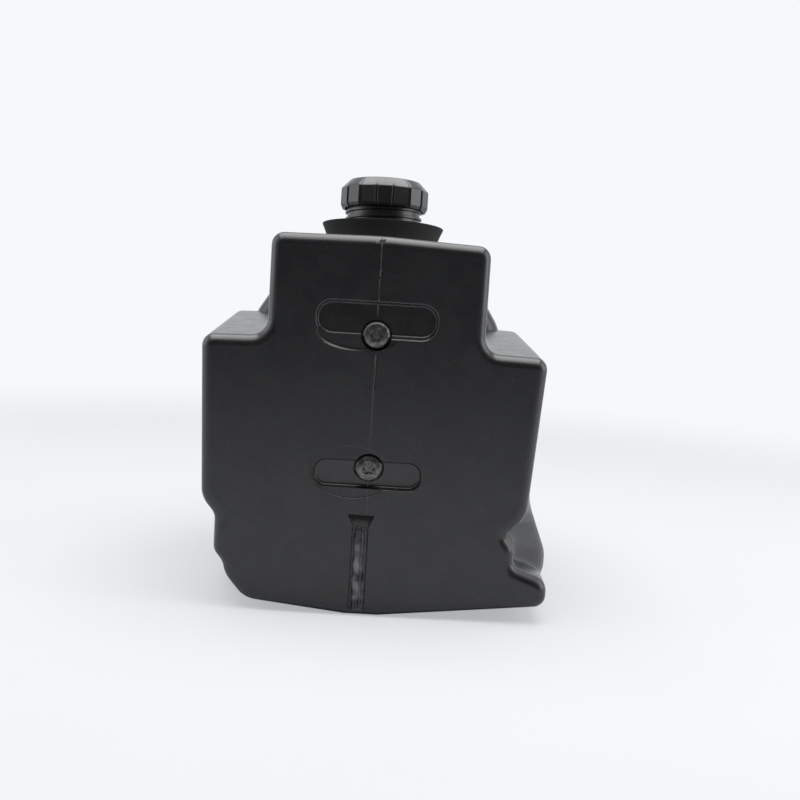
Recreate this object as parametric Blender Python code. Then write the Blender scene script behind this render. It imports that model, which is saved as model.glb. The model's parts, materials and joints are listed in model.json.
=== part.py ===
"""Hydraulic reservoir: a blow-moulded oil tank with a breather cap, two bolted inserts and four rear ports.

Metres, +Z up. The mould's parting plane is X = 0. The bolted face looks along -Y, and the tank stands on
the flat keel along the bottom of its V. Depths are measured back from the bolted face.
"""

import math
from collections import namedtuple

import bmesh
import bpy
from mathutils import Matrix, Vector

MM = 0.001

# Fits shared by every piece
CLEARANCE = 0.3 * MM
WALL = 5 * MM
OVERRUN = 6 * MM

# Tank outline from the shoulders up
SHOULDER_HALF_WIDTH = 139.5 * MM
SHOULDER_HEIGHT = 221.5 * MM
SHOULDER_FALL = 1.5 * MM
SHOULDER_FILLET = 13 * MM
LEFT_SHOULDER_RISE = 4.5 * MM
BLOCK_HALF_WIDTH = 87.5 * MM
ROOF_HEIGHT = 310 * MM
ROOF_CROWN = 3.5 * MM
LEFT_ROOF_RISE = 2 * MM
ROOF_PITCH = math.radians(8.5)
EDGE_RADIUS = 10 * MM
FACE_FILLET = 9 * MM

# Tank outline below the shoulders
RIGHT_WAIST_REACH = 131 * MM
LEFT_WAIST_REACH = 134.5 * MM
WAIST_HEIGHT = 88 * MM
LEFT_WAIST_RISE = 3 * MM
WAIST_ROUND = 12 * MM
NOTCH_HEIGHT = 73.5 * MM
LEFT_NOTCH_RISE = 4 * MM
RIGHT_NOTCH_DEPTH = 8 * MM
RIGHT_LOBE_REACH = 123 * MM
LEFT_LOBE_REACH = 123 * MM
LOBE_TOP = 63 * MM
LOBE_FOOT = 47.5 * MM
LOBE_ROUND = 5 * MM
RIGHT_FOOT_REACH = 151.5 * MM
RIGHT_FOOT_RISE = 15.3 * MM
RIGHT_FOOT_TOP = 37 * MM
FOOT_ROUND = 9 * MM
LEFT_LEDGE_REACH = 115.5 * MM
LEFT_LEDGE_HEIGHT = 39 * MM
LEFT_CHINE_REACH = 112.5 * MM
LEFT_CHINE_HEIGHT = 27.5 * MM
LEFT_HEEL_REACH = 96.5 * MM
LEFT_HEEL_RISE = 8.5 * MM
KEEL_HALF_WIDTH = 14 * MM

# Hollows drawn into the left edge of the face
NOTCH_SCOOP = 5 * MM
SCOOP_REACH = 89 * MM
SCOOP_RISE = 25 * MM
SCOOP_HEEL_REACH = 72 * MM
SCOOP_HEEL_RISE = 13.8 * MM

# Tank depths and the full section behind the front part
TANK_DEPTH = 250 * MM
FRONT_LENGTH = 30 * MM
RAMP_LENGTH = 45 * MM
HULL_WAIST_REACH = 140 * MM
FLANK_REACH = 156.5 * MM
FLANK_TOP = 45.5 * MM
FLANK_FOOT = 31.5 * MM
LEFT_HULL_REACH = 129.5 * MM
BILGE_REACH = 115 * MM

# Rear bulge
REAR_DEPTH = 40 * MM
REAR_OVERLAP = 20 * MM
REAR_HALF_WIDTH = 119 * MM
REAR_SLOPE_HEIGHT = 220.5 * MM
REAR_TOP_HALF_WIDTH = 90 * MM
REAR_TOP_HEIGHT = 266.5 * MM
REAR_KEEL_RISE = 6 * MM
REAR_BILGE_HALF_WIDTH = 100 * MM
REAR_BILGE_RISE = 15 * MM
REAR_BILGE_HEIGHT = 36 * MM

# Filler neck
NECK_SETBACK = 100 * MM
NECK_RADIUS = 31 * MM
NECK_WALL = 4 * MM
NECK_HEIGHT = 50 * MM
NECK_PAD_MARGIN = 1 * MM
NECK_PAD_HEIGHT = 1 * MM
THREAD_PITCH = 6 * MM
THREAD_HEIGHT = 1.8 * MM
THREAD_ROOT_WIDTH = 3.2 * MM
THREAD_CREST_WIDTH = 1.6 * MM
THREAD_BURY = 0.8 * MM
THREAD_CREST_GAP = 0.6 * MM
THREAD_BORE_GAP = 1.2 * MM
NECK_THREAD_DROP = 22 * MM
NECK_THREAD_TURNS = 3
CAP_THREAD_TURNS = 1.25
CAP_THREAD_OFFSET = 1.5

# Filler cap
CAP_WALL = 3.6 * MM
CAP_HEIGHT = 24.6 * MM
CAP_SKIRT_HEIGHT = 16.7 * MM
CAP_CHAMFER = 7.5 * MM
CAP_TOP_THICKNESS = 4 * MM
CAP_SEAT_GAP = 0.5 * MM
CAP_FLATS = 16
CAP_GROOVE_DEPTH = 1.2 * MM
CAP_GROOVE_WIDTH = 2 * MM
CAP_LIP = 0.8 * MM
CAP_VENT_WIDTH = 3 * MM
CAP_VENT_DEPTH = 1.2 * MM

# Breather inside the cap
CAGE_GAP = 1.5 * MM
CAGE_WALL = 2 * MM
CAGE_DEPTH = 20 * MM
CAGE_LIP = 1.5 * MM
CAGE_LIP_HEIGHT = 1.2 * MM
PLATE_THICKNESS = 2 * MM
PLATE_HOLE_RADIUS = 2.5 * MM
PLATE_HOLES = 6
GUIDE_MARGIN = 1 * MM
GUIDE_DEPTH = 5 * MM
VALVE_MARGIN = 1.5 * MM
VALVE_THICKNESS = 1.5 * MM
VALVE_STEM_RADIUS = 2.2 * MM
VALVE_TRAVEL = 3 * MM
FILTER_GAP = 2 * MM
SPRING_WIRE = 0.8 * MM
SPRING_STEM_GAP = 1 * MM
SPRING_COILS = 5

# Gasket, strainer and collar at the neck
FLANGE_THICKNESS = 1.5 * MM
GASKET_THICKNESS = 2.4 * MM
GASKET_INSET = 0.5 * MM
BASKET_GAP = 0.7 * MM
BASKET_WALL = 1.3 * MM
BASKET_DROP = 35 * MM
BASKET_WINDOW_WIDTH = 14 * MM
BASKET_WINDOW_MARGIN = 6 * MM
COLLAR_FOOT_RADIUS = 46.5 * MM
COLLAR_FLARE = 5.5 * MM
COLLAR_HEIGHT = 19.2 * MM
COLLAR_FLOOR = 5 * MM
COLLAR_WALL = 3 * MM

# Bolted pockets in the front face
UPPER_BOLT_HEIGHT = 231 * MM
UPPER_POCKET_WIDTH = 97 * MM
UPPER_POCKET_SPAN = 30 * MM
UPPER_POCKET_LIFT = 12 * MM
UPPER_DISH_WIDTH = 96 * MM
UPPER_DISH_SPAN = 32 * MM
UPPER_DISH_LIFT = 2 * MM
LOWER_BOLT_HEIGHT = 123 * MM
LOWER_POCKET_WIDTH = 86 * MM
LOWER_POCKET_SPAN = 25 * MM
LOWER_POCKET_LIFT = -6 * MM
LOWER_DISH_WIDTH = 91 * MM
LOWER_DISH_SPAN = 46 * MM
LOWER_DISH_LIFT = -4 * MM
POCKET_DEPTH = 6 * MM
DISH_DEPTH = 2 * MM
BOLT_SEAT_DEPTH = 8 * MM
BOLT_SEAT_MARGIN = 1.2 * MM
PINCH_X = -4 * MM
PINCH_WIDTH = 12 * MM
PINCH_DEPTH = 2 * MM
PINCH_HEIGHT = 82 * MM

# Screws and the inserts they hold in
BOLT_RADIUS = 6 * MM
BOLT_END_GAP = 2 * MM
BOLT_HEAD_RADIUS = 10.5 * MM
BOLT_HEAD_HEIGHT = 6.6 * MM
BOLT_CROWN_RADIUS = 5.8 * MM
SOCKET_RADIUS = 4.2 * MM
SOCKET_LOBE = 0.7 * MM
SOCKET_LOBES = 6
SOCKET_DEPTH = 3 * MM
INSERT_WALL = 4 * MM
INSERT_LENGTH = 22 * MM
INSERT_GROOVE = 1 * MM

# Ports on the back
PORT_PAD_MARGIN = 7 * MM
PORT_PAD_HEIGHT = 4 * MM
SEAL_SECTION = 2.4 * MM
SEAL_WIDTH = 3 * MM
HEX_HEIGHT = 9 * MM
HEX_MARGIN = 5 * MM
BARB_LENGTH = 30 * MM
BARB_RIDGES = 3
BARB_RIDGE_HEIGHT = 1.2 * MM
HOSE_WALL = 3 * MM

SUCTION_X = -50 * MM
SUCTION_HEIGHT = 62 * MM
SUCTION_THREAD = 13 * MM
SUCTION_CAGE_MARGIN = 7 * MM
SUCTION_CAGE_LENGTH = 70 * MM
SUCTION_CAGE_WALL = 2 * MM
SUCTION_WINDOW_WIDTH = 16 * MM
SUCTION_WINDOW_MARGIN = 8 * MM

RETURN_X = 50 * MM
RETURN_HEIGHT = 178 * MM
RETURN_THREAD = 10 * MM
RETURN_RUN = 24 * MM
RETURN_BEND = 26 * MM
RETURN_DROP = 80 * MM
RETURN_TUBE_WALL = 1.6 * MM

DRAIN_X = 0 * MM
DRAIN_HEIGHT = 36 * MM
DRAIN_THREAD = 8 * MM
DRAIN_HEAD_HEIGHT = 5 * MM
DRAIN_SOCKET_RADIUS = 4.6 * MM
DRAIN_SOCKET_DEPTH = 3.5 * MM

SIGHT_X = 50 * MM
SIGHT_HEIGHT = 104 * MM
SIGHT_THREAD = 13 * MM
SIGHT_WALL = 3.5 * MM
SIGHT_LENS_THICKNESS = 4 * MM
SIGHT_LENS_SHELF = 2 * MM

# Facets
CORNER_STEPS = 3
FILLET_STEPS = 3
NECK_SIDES = 36
ROUND_SIDES = 20
HIDDEN_SIDES = 16
HOLE_SIDES = 10
HEX_SIDES = 6
THREAD_STEPS_PER_TURN = 24
THREAD_RUNOUT = 4
OBROUND_STEPS = 8
BEND_STEPS = 6
TUBE_FACETS = 3
SPRING_POINTS_PER_COIL = 9
SPRING_FACETS = 1
LOBE_STEPS = 6
SIDE_SHARE = 0.45
MIN_REACH = 0.5 * MM
WELD = 0.001 * MM
FLATNESS = math.radians(0.01)
SMOOTH_ANGLE = math.radians(35)

# Places that follow from the sizes
FRONT_Y = -TANK_DEPTH / 2
BACK_Y = FRONT_Y + TANK_DEPTH
REAR_Y = BACK_Y + REAR_DEPTH
PORT_Y = REAR_Y + PORT_PAD_HEIGHT
HULL_START = FRONT_LENGTH + RAMP_LENGTH
NECK_BORE = NECK_RADIUS - NECK_WALL
NECK_THREAD_LOW = NECK_HEIGHT - NECK_THREAD_DROP
NECK_PAD_RADIUS = COLLAR_FOOT_RADIUS + NECK_PAD_MARGIN
BASKET_RADIUS = NECK_BORE - BASKET_GAP
BASKET_BORE = BASKET_RADIUS - BASKET_WALL
FLANGE_BOTTOM = NECK_HEIGHT + CLEARANCE
GASKET_BOTTOM = FLANGE_BOTTOM + FLANGE_THICKNESS + CLEARANCE
CAP_CEILING = GASKET_BOTTOM + GASKET_THICKNESS + CLEARANCE
CAP_TOP = CAP_CEILING + CAP_TOP_THICKNESS
CAP_FOOT = CAP_TOP - CAP_HEIGHT
CAP_BORE = NECK_RADIUS + THREAD_HEIGHT + THREAD_BORE_GAP
CAP_RADIUS = CAP_BORE + CAP_WALL
CAP_TOP_RADIUS = CAP_RADIUS - CAP_CHAMFER
CAP_SEAT_RADIUS = NECK_RADIUS + CAP_SEAT_GAP
CAGE_RADIUS = BASKET_BORE - CAGE_GAP
CAGE_BORE = CAGE_RADIUS - CAGE_WALL
CAGE_FOOT = CAP_CEILING - CAGE_DEPTH
PLATE_BOTTOM = CAGE_FOOT + CAGE_LIP_HEIGHT + CLEARANCE
PLATE_TOP = PLATE_BOTTOM + PLATE_THICKNESS
VALVE_BOTTOM = PLATE_TOP + CLEARANCE
VALVE_TOP = VALVE_BOTTOM + VALVE_THICKNESS
SPRING_MEAN_RADIUS = VALVE_STEM_RADIUS + SPRING_STEM_GAP + SPRING_WIRE / 2
VALVE_RADIUS = SPRING_MEAN_RADIUS + SPRING_WIRE / 2 + VALVE_MARGIN
PLATE_SEAT_RADIUS = VALVE_RADIUS - VALVE_MARGIN
GUIDE_RADIUS = VALVE_RADIUS + GUIDE_MARGIN
GUIDE_FOOT = CAP_CEILING - GUIDE_DEPTH
FILTER_BORE = GUIDE_RADIUS + FILTER_GAP
PLATE_HOLE_CIRCLE = (FILTER_BORE + CAGE_BORE - CAGE_LIP) / 2
COLLAR_BOTTOM = NECK_PAD_HEIGHT + CLEARANCE
COLLAR_RIM_RADIUS = COLLAR_FOOT_RADIUS + COLLAR_FLARE
BOLT_LENGTH = INSERT_LENGTH - BOLT_END_GAP
PORT_ENGAGEMENT = INSERT_LENGTH / 2
PORT_SPIGOT = INSERT_LENGTH / 4
SUCTION_CAGE_RADIUS = SUCTION_THREAD + SUCTION_CAGE_MARGIN
SIGHT_LENS_RADIUS = SIGHT_THREAD - SIGHT_WALL

# The left side's corners in the order that ends every section's list
LEFT_SIDE = ("waist", "notch", "lobe_top", "lobe_foot", "ledge", "chine", "heel", "keel")

Corner = namedtuple("Corner", "x z reach")
Finish = namedtuple("Finish", "colour roughness metallic")
Pocket = namedtuple("Pocket", "width span lift dish_width dish_span dish_lift")

BLACK_PLASTIC = Finish((0.018, 0.018, 0.02), 0.45, 0.0)
GLOSS_PLASTIC = Finish((0.015, 0.015, 0.017), 0.25, 0.0)
RUBBER = Finish((0.02, 0.02, 0.02), 0.8, 0.0)
BLACK_STEEL = Finish((0.05, 0.05, 0.055), 0.35, 0.9)
BRASS = Finish((0.72, 0.53, 0.24), 0.35, 1.0)
ZINC_STEEL = Finish((0.6, 0.61, 0.62), 0.35, 1.0)
WHITE_NYLON = Finish((0.75, 0.74, 0.7), 0.5, 0.0)
GREY_FOAM = Finish((0.18, 0.18, 0.19), 0.95, 0.0)
CLEAR_PLASTIC = Finish((0.85, 0.87, 0.85), 0.08, 0.0)


def clear_scene():
    """Removes everything the scene starts with."""
    for obj in list(bpy.data.objects):
        bpy.data.objects.remove(obj, do_unlink=True)


def material(name, finish):
    """A Principled material with one finish."""
    made = bpy.data.materials.new(name)
    made.use_nodes = True
    shader = made.node_tree.nodes["Principled BSDF"]
    shader.inputs["Base Color"].default_value = (*finish.colour, 1.0)
    shader.inputs["Roughness"].default_value = finish.roughness
    shader.inputs["Metallic"].default_value = finish.metallic
    return made


def frame(name, location, turn):
    """An empty that places pieces: turn is its rotation about X."""
    empty = bpy.data.objects.new(name, None)
    empty.location = location
    empty.rotation_euler = (turn, 0.0, 0.0)
    bpy.context.scene.collection.objects.link(empty)
    return empty


def add_object(name, bm, parent=None):
    """Turns a bmesh into an object with merged points and flat faces that point out."""
    bmesh.ops.remove_doubles(bm, verts=bm.verts, dist=WELD)
    bmesh.ops.connect_verts_nonplanar(bm, angle_limit=FLATNESS, faces=bm.faces)
    bmesh.ops.recalc_face_normals(bm, faces=bm.faces)
    mesh = bpy.data.meshes.new(name)
    bm.to_mesh(mesh)
    bm.free()
    obj = bpy.data.objects.new(name, mesh)
    obj.parent = parent
    bpy.context.scene.collection.objects.link(obj)
    return obj


def finish_piece(obj, finish):
    """Merges flat neighbouring faces, then gives the piece its material and smooth shading."""
    bm = bmesh.new()
    bm.from_mesh(obj.data)
    bmesh.ops.dissolve_limit(bm, angle_limit=FLATNESS, verts=bm.verts, edges=bm.edges)
    bm.to_mesh(obj.data)
    bm.free()
    obj.data.materials.clear()
    obj.data.materials.append(material(obj.name, finish))
    obj.data.shade_smooth()
    obj.data.set_sharp_from_angle(angle=SMOOTH_ANGLE)
    return obj


def combine(target, tool, operation):
    """Applies a Boolean with a tool piece, which is used up."""
    modifier = target.modifiers.new(operation, "BOOLEAN")
    modifier.operation = operation
    modifier.solver = "EXACT"
    modifier.object = tool
    bpy.context.view_layer.update()
    evaluated = target.evaluated_get(bpy.context.evaluated_depsgraph_get())
    bm = bmesh.new()
    bm.from_mesh(bpy.data.meshes.new_from_object(evaluated))
    bmesh.ops.remove_doubles(bm, verts=bm.verts, dist=WELD)
    bmesh.ops.dissolve_degenerate(bm, edges=bm.edges, dist=WELD)
    target.modifiers.clear()
    bm.to_mesh(target.data)
    bm.free()
    bpy.data.objects.remove(tool, do_unlink=True)
    return target


def add(target, tool):
    """Joins a tool piece to the target."""
    return combine(target, tool, "UNION")


def cut(target, tool):
    """Cuts a tool piece out of the target."""
    return combine(target, tool, "DIFFERENCE")


def turned(name, profile, parent=None, sides=ROUND_SIDES):
    """A piece turned about its frame's Z axis from (radius, height) points; a ring's profile is closed."""
    bm = bmesh.new()
    verts = [bm.verts.new((radius, 0.0, height)) for radius, height in profile]
    pairs = list(zip(verts, verts[1:]))
    if profile[0][0] > 0.0:
        pairs.append((verts[-1], verts[0]))
    edges = [bm.edges.new(pair) for pair in pairs]
    whole = 2 * math.pi
    bmesh.ops.spin(
        bm, geom=verts + edges, cent=(0, 0, 0), axis=(0, 0, 1), angle=whole, steps=sides, use_merge=True
    )
    return add_object(name, bm, parent)


def ring_profile(inner, outer, low, high):
    """The square section of a plain ring."""
    return [(inner, high), (outer, high), (outer, low), (inner, low)]


def disc_profile(radius, low, high):
    """The half section of a plain disc."""
    return [(0.0, high), (radius, high), (radius, low), (0.0, low)]


def block(name, low, high, parent=None):
    """A plain box between two corners."""
    bm = bmesh.new()
    bmesh.ops.create_cube(bm, size=1.0)
    size = Vector(high) - Vector(low)
    centre = (Vector(high) + Vector(low)) / 2
    placing = Matrix.Translation(centre) @ Matrix.Diagonal((*size, 1.0))
    bmesh.ops.transform(bm, matrix=placing, verts=bm.verts)
    return add_object(name, bm, parent)


def lofted(name, rings, parent=None):
    """A closed body through rings of as many points each, with flat ends."""
    bm = bmesh.new()
    loops = [[bm.verts.new(point) for point in ring] for ring in rings]
    count = len(rings[0])
    for near, far in zip(loops, loops[1:]):
        for i in range(count):
            j = (i + 1) % count
            bm.faces.new((near[i], near[j], far[j], far[i]))
    bm.faces.new(loops[0])
    bm.faces.new(loops[-1])
    return add_object(name, bm, parent)


def prism(name, outline, low, high, parent=None):
    """An outline of (x, y) points raised along its frame's Z axis."""
    rings = [[(x, y, height) for x, y in outline] for height in (low, high)]
    return lofted(name, rings, parent)


def inset(corners, distance):
    """Moves a counter-clockwise outline's sides inwards, keeping one corner for each corner."""
    moved = []
    count = len(corners)
    for i, corner in enumerate(corners):
        here = Vector((corner.x, corner.z))
        before = corners[i - 1]
        after = corners[(i + 1) % count]
        arriving = (here - Vector((before.x, before.z))).normalized()
        leaving = (Vector((after.x, after.z)) - here).normalized()
        inward = Vector((-arriving.y, arriving.x)) + Vector((-leaving.y, leaving.x))
        turn = math.atan2(arriving.cross(leaving), arriving.dot(leaving))
        place = here + inward * (distance / (1.0 + arriving.dot(leaving)))
        reach = max(corner.reach - distance * math.tan(turn / 2), MIN_REACH)
        moved.append(Corner(place.x, place.y, reach))
    return moved


def rounded(corners):
    """Points of an outline whose corners are circular arcs that start a corner's reach away from it."""
    points = []
    count = len(corners)
    for i, corner in enumerate(corners):
        here = Vector((corner.x, corner.z))
        before = Vector((corners[i - 1].x, corners[i - 1].z)) - here
        after = Vector((corners[(i + 1) % count].x, corners[(i + 1) % count].z)) - here
        reach = min(corner.reach, SIDE_SHARE * before.length, SIDE_SHARE * after.length)
        start = here + before.normalized() * reach
        end = here + after.normalized() * reach
        weight = math.cos(0.5 * before.normalized().angle(-after.normalized(), 0.0))
        for k in range(CORNER_STEPS + 1):
            t = k / CORNER_STEPS
            shares = ((1 - t) ** 2, 2 * weight * t * (1 - t), t**2)
            total = start * shares[0] + here * shares[1] + end * shares[2]
            points.append(total / sum(shares))
    return points


def roof_height(depth):
    """Height of the sloping roof's ridge at a depth."""
    return ROOF_HEIGHT - depth * math.tan(ROOF_PITCH)


def outline(right_low, left_low, depth):
    """A whole tank section from its two lower sides, counter-clockwise from the right of the keel."""
    roof = roof_height(depth)
    edge = SHOULDER_HEIGHT - SHOULDER_FALL
    upper = [
        Corner(SHOULDER_HALF_WIDTH, edge, EDGE_RADIUS),
        Corner(BLOCK_HALF_WIDTH, SHOULDER_HEIGHT, SHOULDER_FILLET),
        Corner(BLOCK_HALF_WIDTH, roof - ROOF_CROWN, EDGE_RADIUS),
        Corner(0.0, roof, EDGE_RADIUS),
        Corner(-BLOCK_HALF_WIDTH, roof - ROOF_CROWN + LEFT_ROOF_RISE, EDGE_RADIUS),
        Corner(-BLOCK_HALF_WIDTH, SHOULDER_HEIGHT + LEFT_SHOULDER_RISE, SHOULDER_FILLET),
        Corner(-SHOULDER_HALF_WIDTH, edge + LEFT_SHOULDER_RISE, EDGE_RADIUS),
    ]
    return right_low + upper + left_low


def front_section(depth):
    """The front part's section: a notch, a lobe and a foot on the right, a lobe and a heel on the left."""
    right_low = [
        Corner(KEEL_HALF_WIDTH, 0.0, MIN_REACH),
        Corner(RIGHT_FOOT_REACH, RIGHT_FOOT_RISE, FOOT_ROUND),
        Corner(RIGHT_FOOT_REACH, RIGHT_FOOT_TOP, FOOT_ROUND),
        Corner(RIGHT_LOBE_REACH, LOBE_FOOT, LOBE_ROUND),
        Corner(RIGHT_LOBE_REACH, LOBE_TOP, LOBE_ROUND),
        Corner(RIGHT_LOBE_REACH - RIGHT_NOTCH_DEPTH, NOTCH_HEIGHT, LOBE_ROUND),
        Corner(RIGHT_WAIST_REACH, WAIST_HEIGHT, WAIST_ROUND),
    ]
    left_low = [
        Corner(-LEFT_WAIST_REACH, WAIST_HEIGHT + LEFT_WAIST_RISE, WAIST_ROUND),
        Corner(-LEFT_LOBE_REACH, NOTCH_HEIGHT + LEFT_NOTCH_RISE, LOBE_ROUND),
        Corner(-LEFT_LOBE_REACH, LOBE_TOP, LOBE_ROUND),
        Corner(-LEFT_LOBE_REACH, LOBE_FOOT, LOBE_ROUND),
        Corner(-LEFT_LEDGE_REACH, LEFT_LEDGE_HEIGHT, LOBE_ROUND),
        Corner(-LEFT_CHINE_REACH, LEFT_CHINE_HEIGHT, FOOT_ROUND),
        Corner(-LEFT_HEEL_REACH, LEFT_HEEL_RISE, FOOT_ROUND),
        Corner(-KEEL_HALF_WIDTH, 0.0, MIN_REACH),
    ]
    return outline(right_low, left_low, depth)


def face_section():
    """The flat front face: the front section less its fillet, with a notch and a scoop at the left."""
    corners = inset(front_section(0.0), FACE_FILLET)
    first = len(corners) - len(LEFT_SIDE)
    left = dict(zip(LEFT_SIDE, corners[first:]))
    left["notch"] = left["notch"]._replace(x=left["notch"].x + NOTCH_SCOOP)
    left["chine"] = Corner(-SCOOP_REACH, SCOOP_RISE, MIN_REACH)
    left["heel"] = Corner(-SCOOP_HEEL_REACH, SCOOP_HEEL_RISE, FOOT_ROUND)
    middle = blended([left["lobe_foot"]], [left["chine"]], 0.5)
    left["ledge"] = middle[0]._replace(reach=MIN_REACH)
    return corners[:first] + [left[name] for name in LEFT_SIDE]


def hull_section(depth):
    """The full section behind the ramp, whose right flank stands out."""
    right_low = [
        Corner(KEEL_HALF_WIDTH, 0.0, MIN_REACH),
        Corner(RIGHT_FOOT_REACH, RIGHT_FOOT_RISE, FOOT_ROUND),
        Corner((RIGHT_FOOT_REACH + FLANK_REACH) / 2, (RIGHT_FOOT_RISE + FLANK_FOOT) / 2, LOBE_ROUND),
        Corner(FLANK_REACH, FLANK_FOOT, LOBE_ROUND),
        Corner(FLANK_REACH, FLANK_TOP, LOBE_ROUND),
        Corner((HULL_WAIST_REACH + FLANK_REACH) / 2, (FLANK_TOP + WAIST_HEIGHT) / 2, LOBE_ROUND),
        Corner(HULL_WAIST_REACH, WAIST_HEIGHT, WAIST_ROUND),
    ]
    left_low = [
        Corner(-LEFT_HULL_REACH, WAIST_HEIGHT + LEFT_WAIST_RISE, WAIST_ROUND),
        Corner(-LEFT_HULL_REACH, NOTCH_HEIGHT + LEFT_NOTCH_RISE, LOBE_ROUND),
        Corner(-LEFT_HULL_REACH, LOBE_TOP, LOBE_ROUND),
        Corner(-LEFT_HULL_REACH, LOBE_FOOT, LOBE_ROUND),
        Corner(-LEFT_HULL_REACH, LEFT_LEDGE_HEIGHT, LOBE_ROUND),
        Corner((-LEFT_HULL_REACH - BILGE_REACH) / 2, (LEFT_LEDGE_HEIGHT + LEFT_HEEL_RISE) / 2, LOBE_ROUND),
        Corner(-BILGE_REACH, LEFT_HEEL_RISE, FOOT_ROUND),
        Corner(-KEEL_HALF_WIDTH, 0.0, MIN_REACH),
    ]
    return outline(right_low, left_low, depth)


def rear_section():
    """The section of the rear bulge, which leans in above the shoulders."""
    right = [
        Corner(KEEL_HALF_WIDTH, REAR_KEEL_RISE, MIN_REACH),
        Corner(REAR_BILGE_HALF_WIDTH, REAR_BILGE_RISE, EDGE_RADIUS),
        Corner(REAR_HALF_WIDTH, REAR_BILGE_HEIGHT, EDGE_RADIUS),
        Corner(REAR_HALF_WIDTH, REAR_SLOPE_HEIGHT, EDGE_RADIUS),
        Corner(REAR_TOP_HALF_WIDTH, REAR_TOP_HEIGHT, EDGE_RADIUS),
    ]
    return right + [Corner(-c.x, c.z, c.reach) for c in reversed(right)]


def placed(corners, depth):
    """A ring of points: a rounded section set at a depth."""
    return [(point.x, FRONT_Y + depth, point.y) for point in rounded(corners)]


def blended(near, far, share):
    """Corners a share of the way from one section to another."""
    return [
        Corner(a.x + (b.x - a.x) * share, a.z + (b.z - a.z) * share, a.reach + (b.reach - a.reach) * share)
        for a, b in zip(near, far)
    ]


def fillet_rings(end, body, end_depth, body_depth):
    """Rings that turn from a flat end into the section behind it along a quarter ellipse."""
    rings = []
    for k in range(FILLET_STEPS):
        angle = k / FILLET_STEPS * math.pi / 2
        depth = end_depth + (body_depth - end_depth) * (1 - math.cos(angle))
        rings.append(placed(blended(end, body, math.sin(angle)), depth))
    return rings


def tank_body():
    """The tank's outer form without its neck, pockets and pads."""
    face = face_section()
    last = TANK_DEPTH - FACE_FILLET
    rings = fillet_rings(face, front_section(0.0), 0.0, FACE_FILLET)
    rings.append(placed(front_section(FACE_FILLET), FACE_FILLET))
    rings.append(placed(front_section(FRONT_LENGTH), FRONT_LENGTH))
    rings.append(placed(hull_section(HULL_START), HULL_START))
    rings.append(placed(hull_section(last), last))
    end = inset(hull_section(TANK_DEPTH), FACE_FILLET)
    rings += reversed(fillet_rings(end, hull_section(TANK_DEPTH), TANK_DEPTH, last))
    body = lofted("tank_shell", rings)
    return add(body, rear_body("rear_bulge", 0.0, FACE_FILLET))


def rear_body(name, wall, fillet):
    """The rear bulge, or its hollow when a wall is given."""
    section = inset(rear_section(), wall)
    near = TANK_DEPTH - REAR_OVERLAP - wall
    far = TANK_DEPTH + REAR_DEPTH - wall
    end = inset(section, fillet)
    rings = fillet_rings(end, section, near, near + fillet)
    rings.append(placed(section, near + fillet))
    rings.append(placed(section, far - fillet))
    rings += reversed(fillet_rings(end, section, far, far - fillet))
    return lofted(name, rings)


def tank_hollow():
    """The oil space: the body's form drawn in by the wall, with room left for the pockets and inserts."""
    last = TANK_DEPTH - FACE_FILLET
    rings = [
        placed(face_section(), WALL),
        placed(inset(front_section(FACE_FILLET), WALL), FACE_FILLET),
        placed(inset(front_section(FRONT_LENGTH), WALL), FRONT_LENGTH),
        placed(inset(hull_section(HULL_START), WALL), HULL_START),
        placed(inset(hull_section(last), WALL), last),
        placed(inset(hull_section(TANK_DEPTH), FACE_FILLET), TANK_DEPTH - WALL),
    ]
    hollow = lofted("oil_space", rings)
    return add(hollow, rear_body("rear_space", WALL, FACE_FILLET - WALL))


def obround(width, span):
    """An outline with two round ends, wide along X."""
    radius = span / 2
    points = []
    for side in (1, -1):
        centre = side * (width / 2 - radius)
        for k in range(OBROUND_STEPS + 1):
            angle = (k / OBROUND_STEPS - 0.5) * math.pi
            points.append((centre + side * radius * math.cos(angle), side * radius * math.sin(angle)))
    return points


def ellipse(width, span):
    """An elliptical outline."""
    count = 4 * OBROUND_STEPS
    angles = [2 * math.pi * k / count for k in range(count)]
    return [(width / 2 * math.cos(a), span / 2 * math.sin(a)) for a in angles]


def raised(points, lift):
    """An outline moved along Y."""
    return [(x, y + lift) for x, y in points]


def cut_pocket(body, hollow, bolt_frame, pocket):
    """Cuts a bolted pocket into the face, and leaves its floor and the insert's boss in the oil space."""
    shape = raised(obround(pocket.width, pocket.span), pocket.lift)
    dish = raised(ellipse(pocket.dish_width, pocket.dish_span), pocket.dish_lift)
    seat = BOLT_HEAD_RADIUS + BOLT_SEAT_MARGIN
    socket = insert_radius(BOLT_RADIUS) + CLEARANCE
    bottom = -BOLT_SEAT_DEPTH - INSERT_LENGTH - CLEARANCE
    body = cut(body, prism("pocket", shape, -POCKET_DEPTH, OVERRUN, bolt_frame))
    body = cut(body, prism("dish", dish, -DISH_DEPTH, OVERRUN, bolt_frame))
    body = cut(body, turned("seat", disc_profile(seat, -BOLT_SEAT_DEPTH, OVERRUN), bolt_frame))
    body = cut(body, turned("insert_hole", disc_profile(socket, bottom, 0.0), bolt_frame, HIDDEN_SIDES))
    floor = raised(obround(pocket.width + 2 * WALL, pocket.span + 2 * WALL), pocket.lift)
    hollow = cut(hollow, prism("floor", floor, -POCKET_DEPTH - WALL, 0.0, bolt_frame))
    boss = disc_profile(max(socket, seat) + WALL, bottom - WALL, 0.0)
    return body, cut(hollow, turned("boss", boss, bolt_frame))


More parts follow.
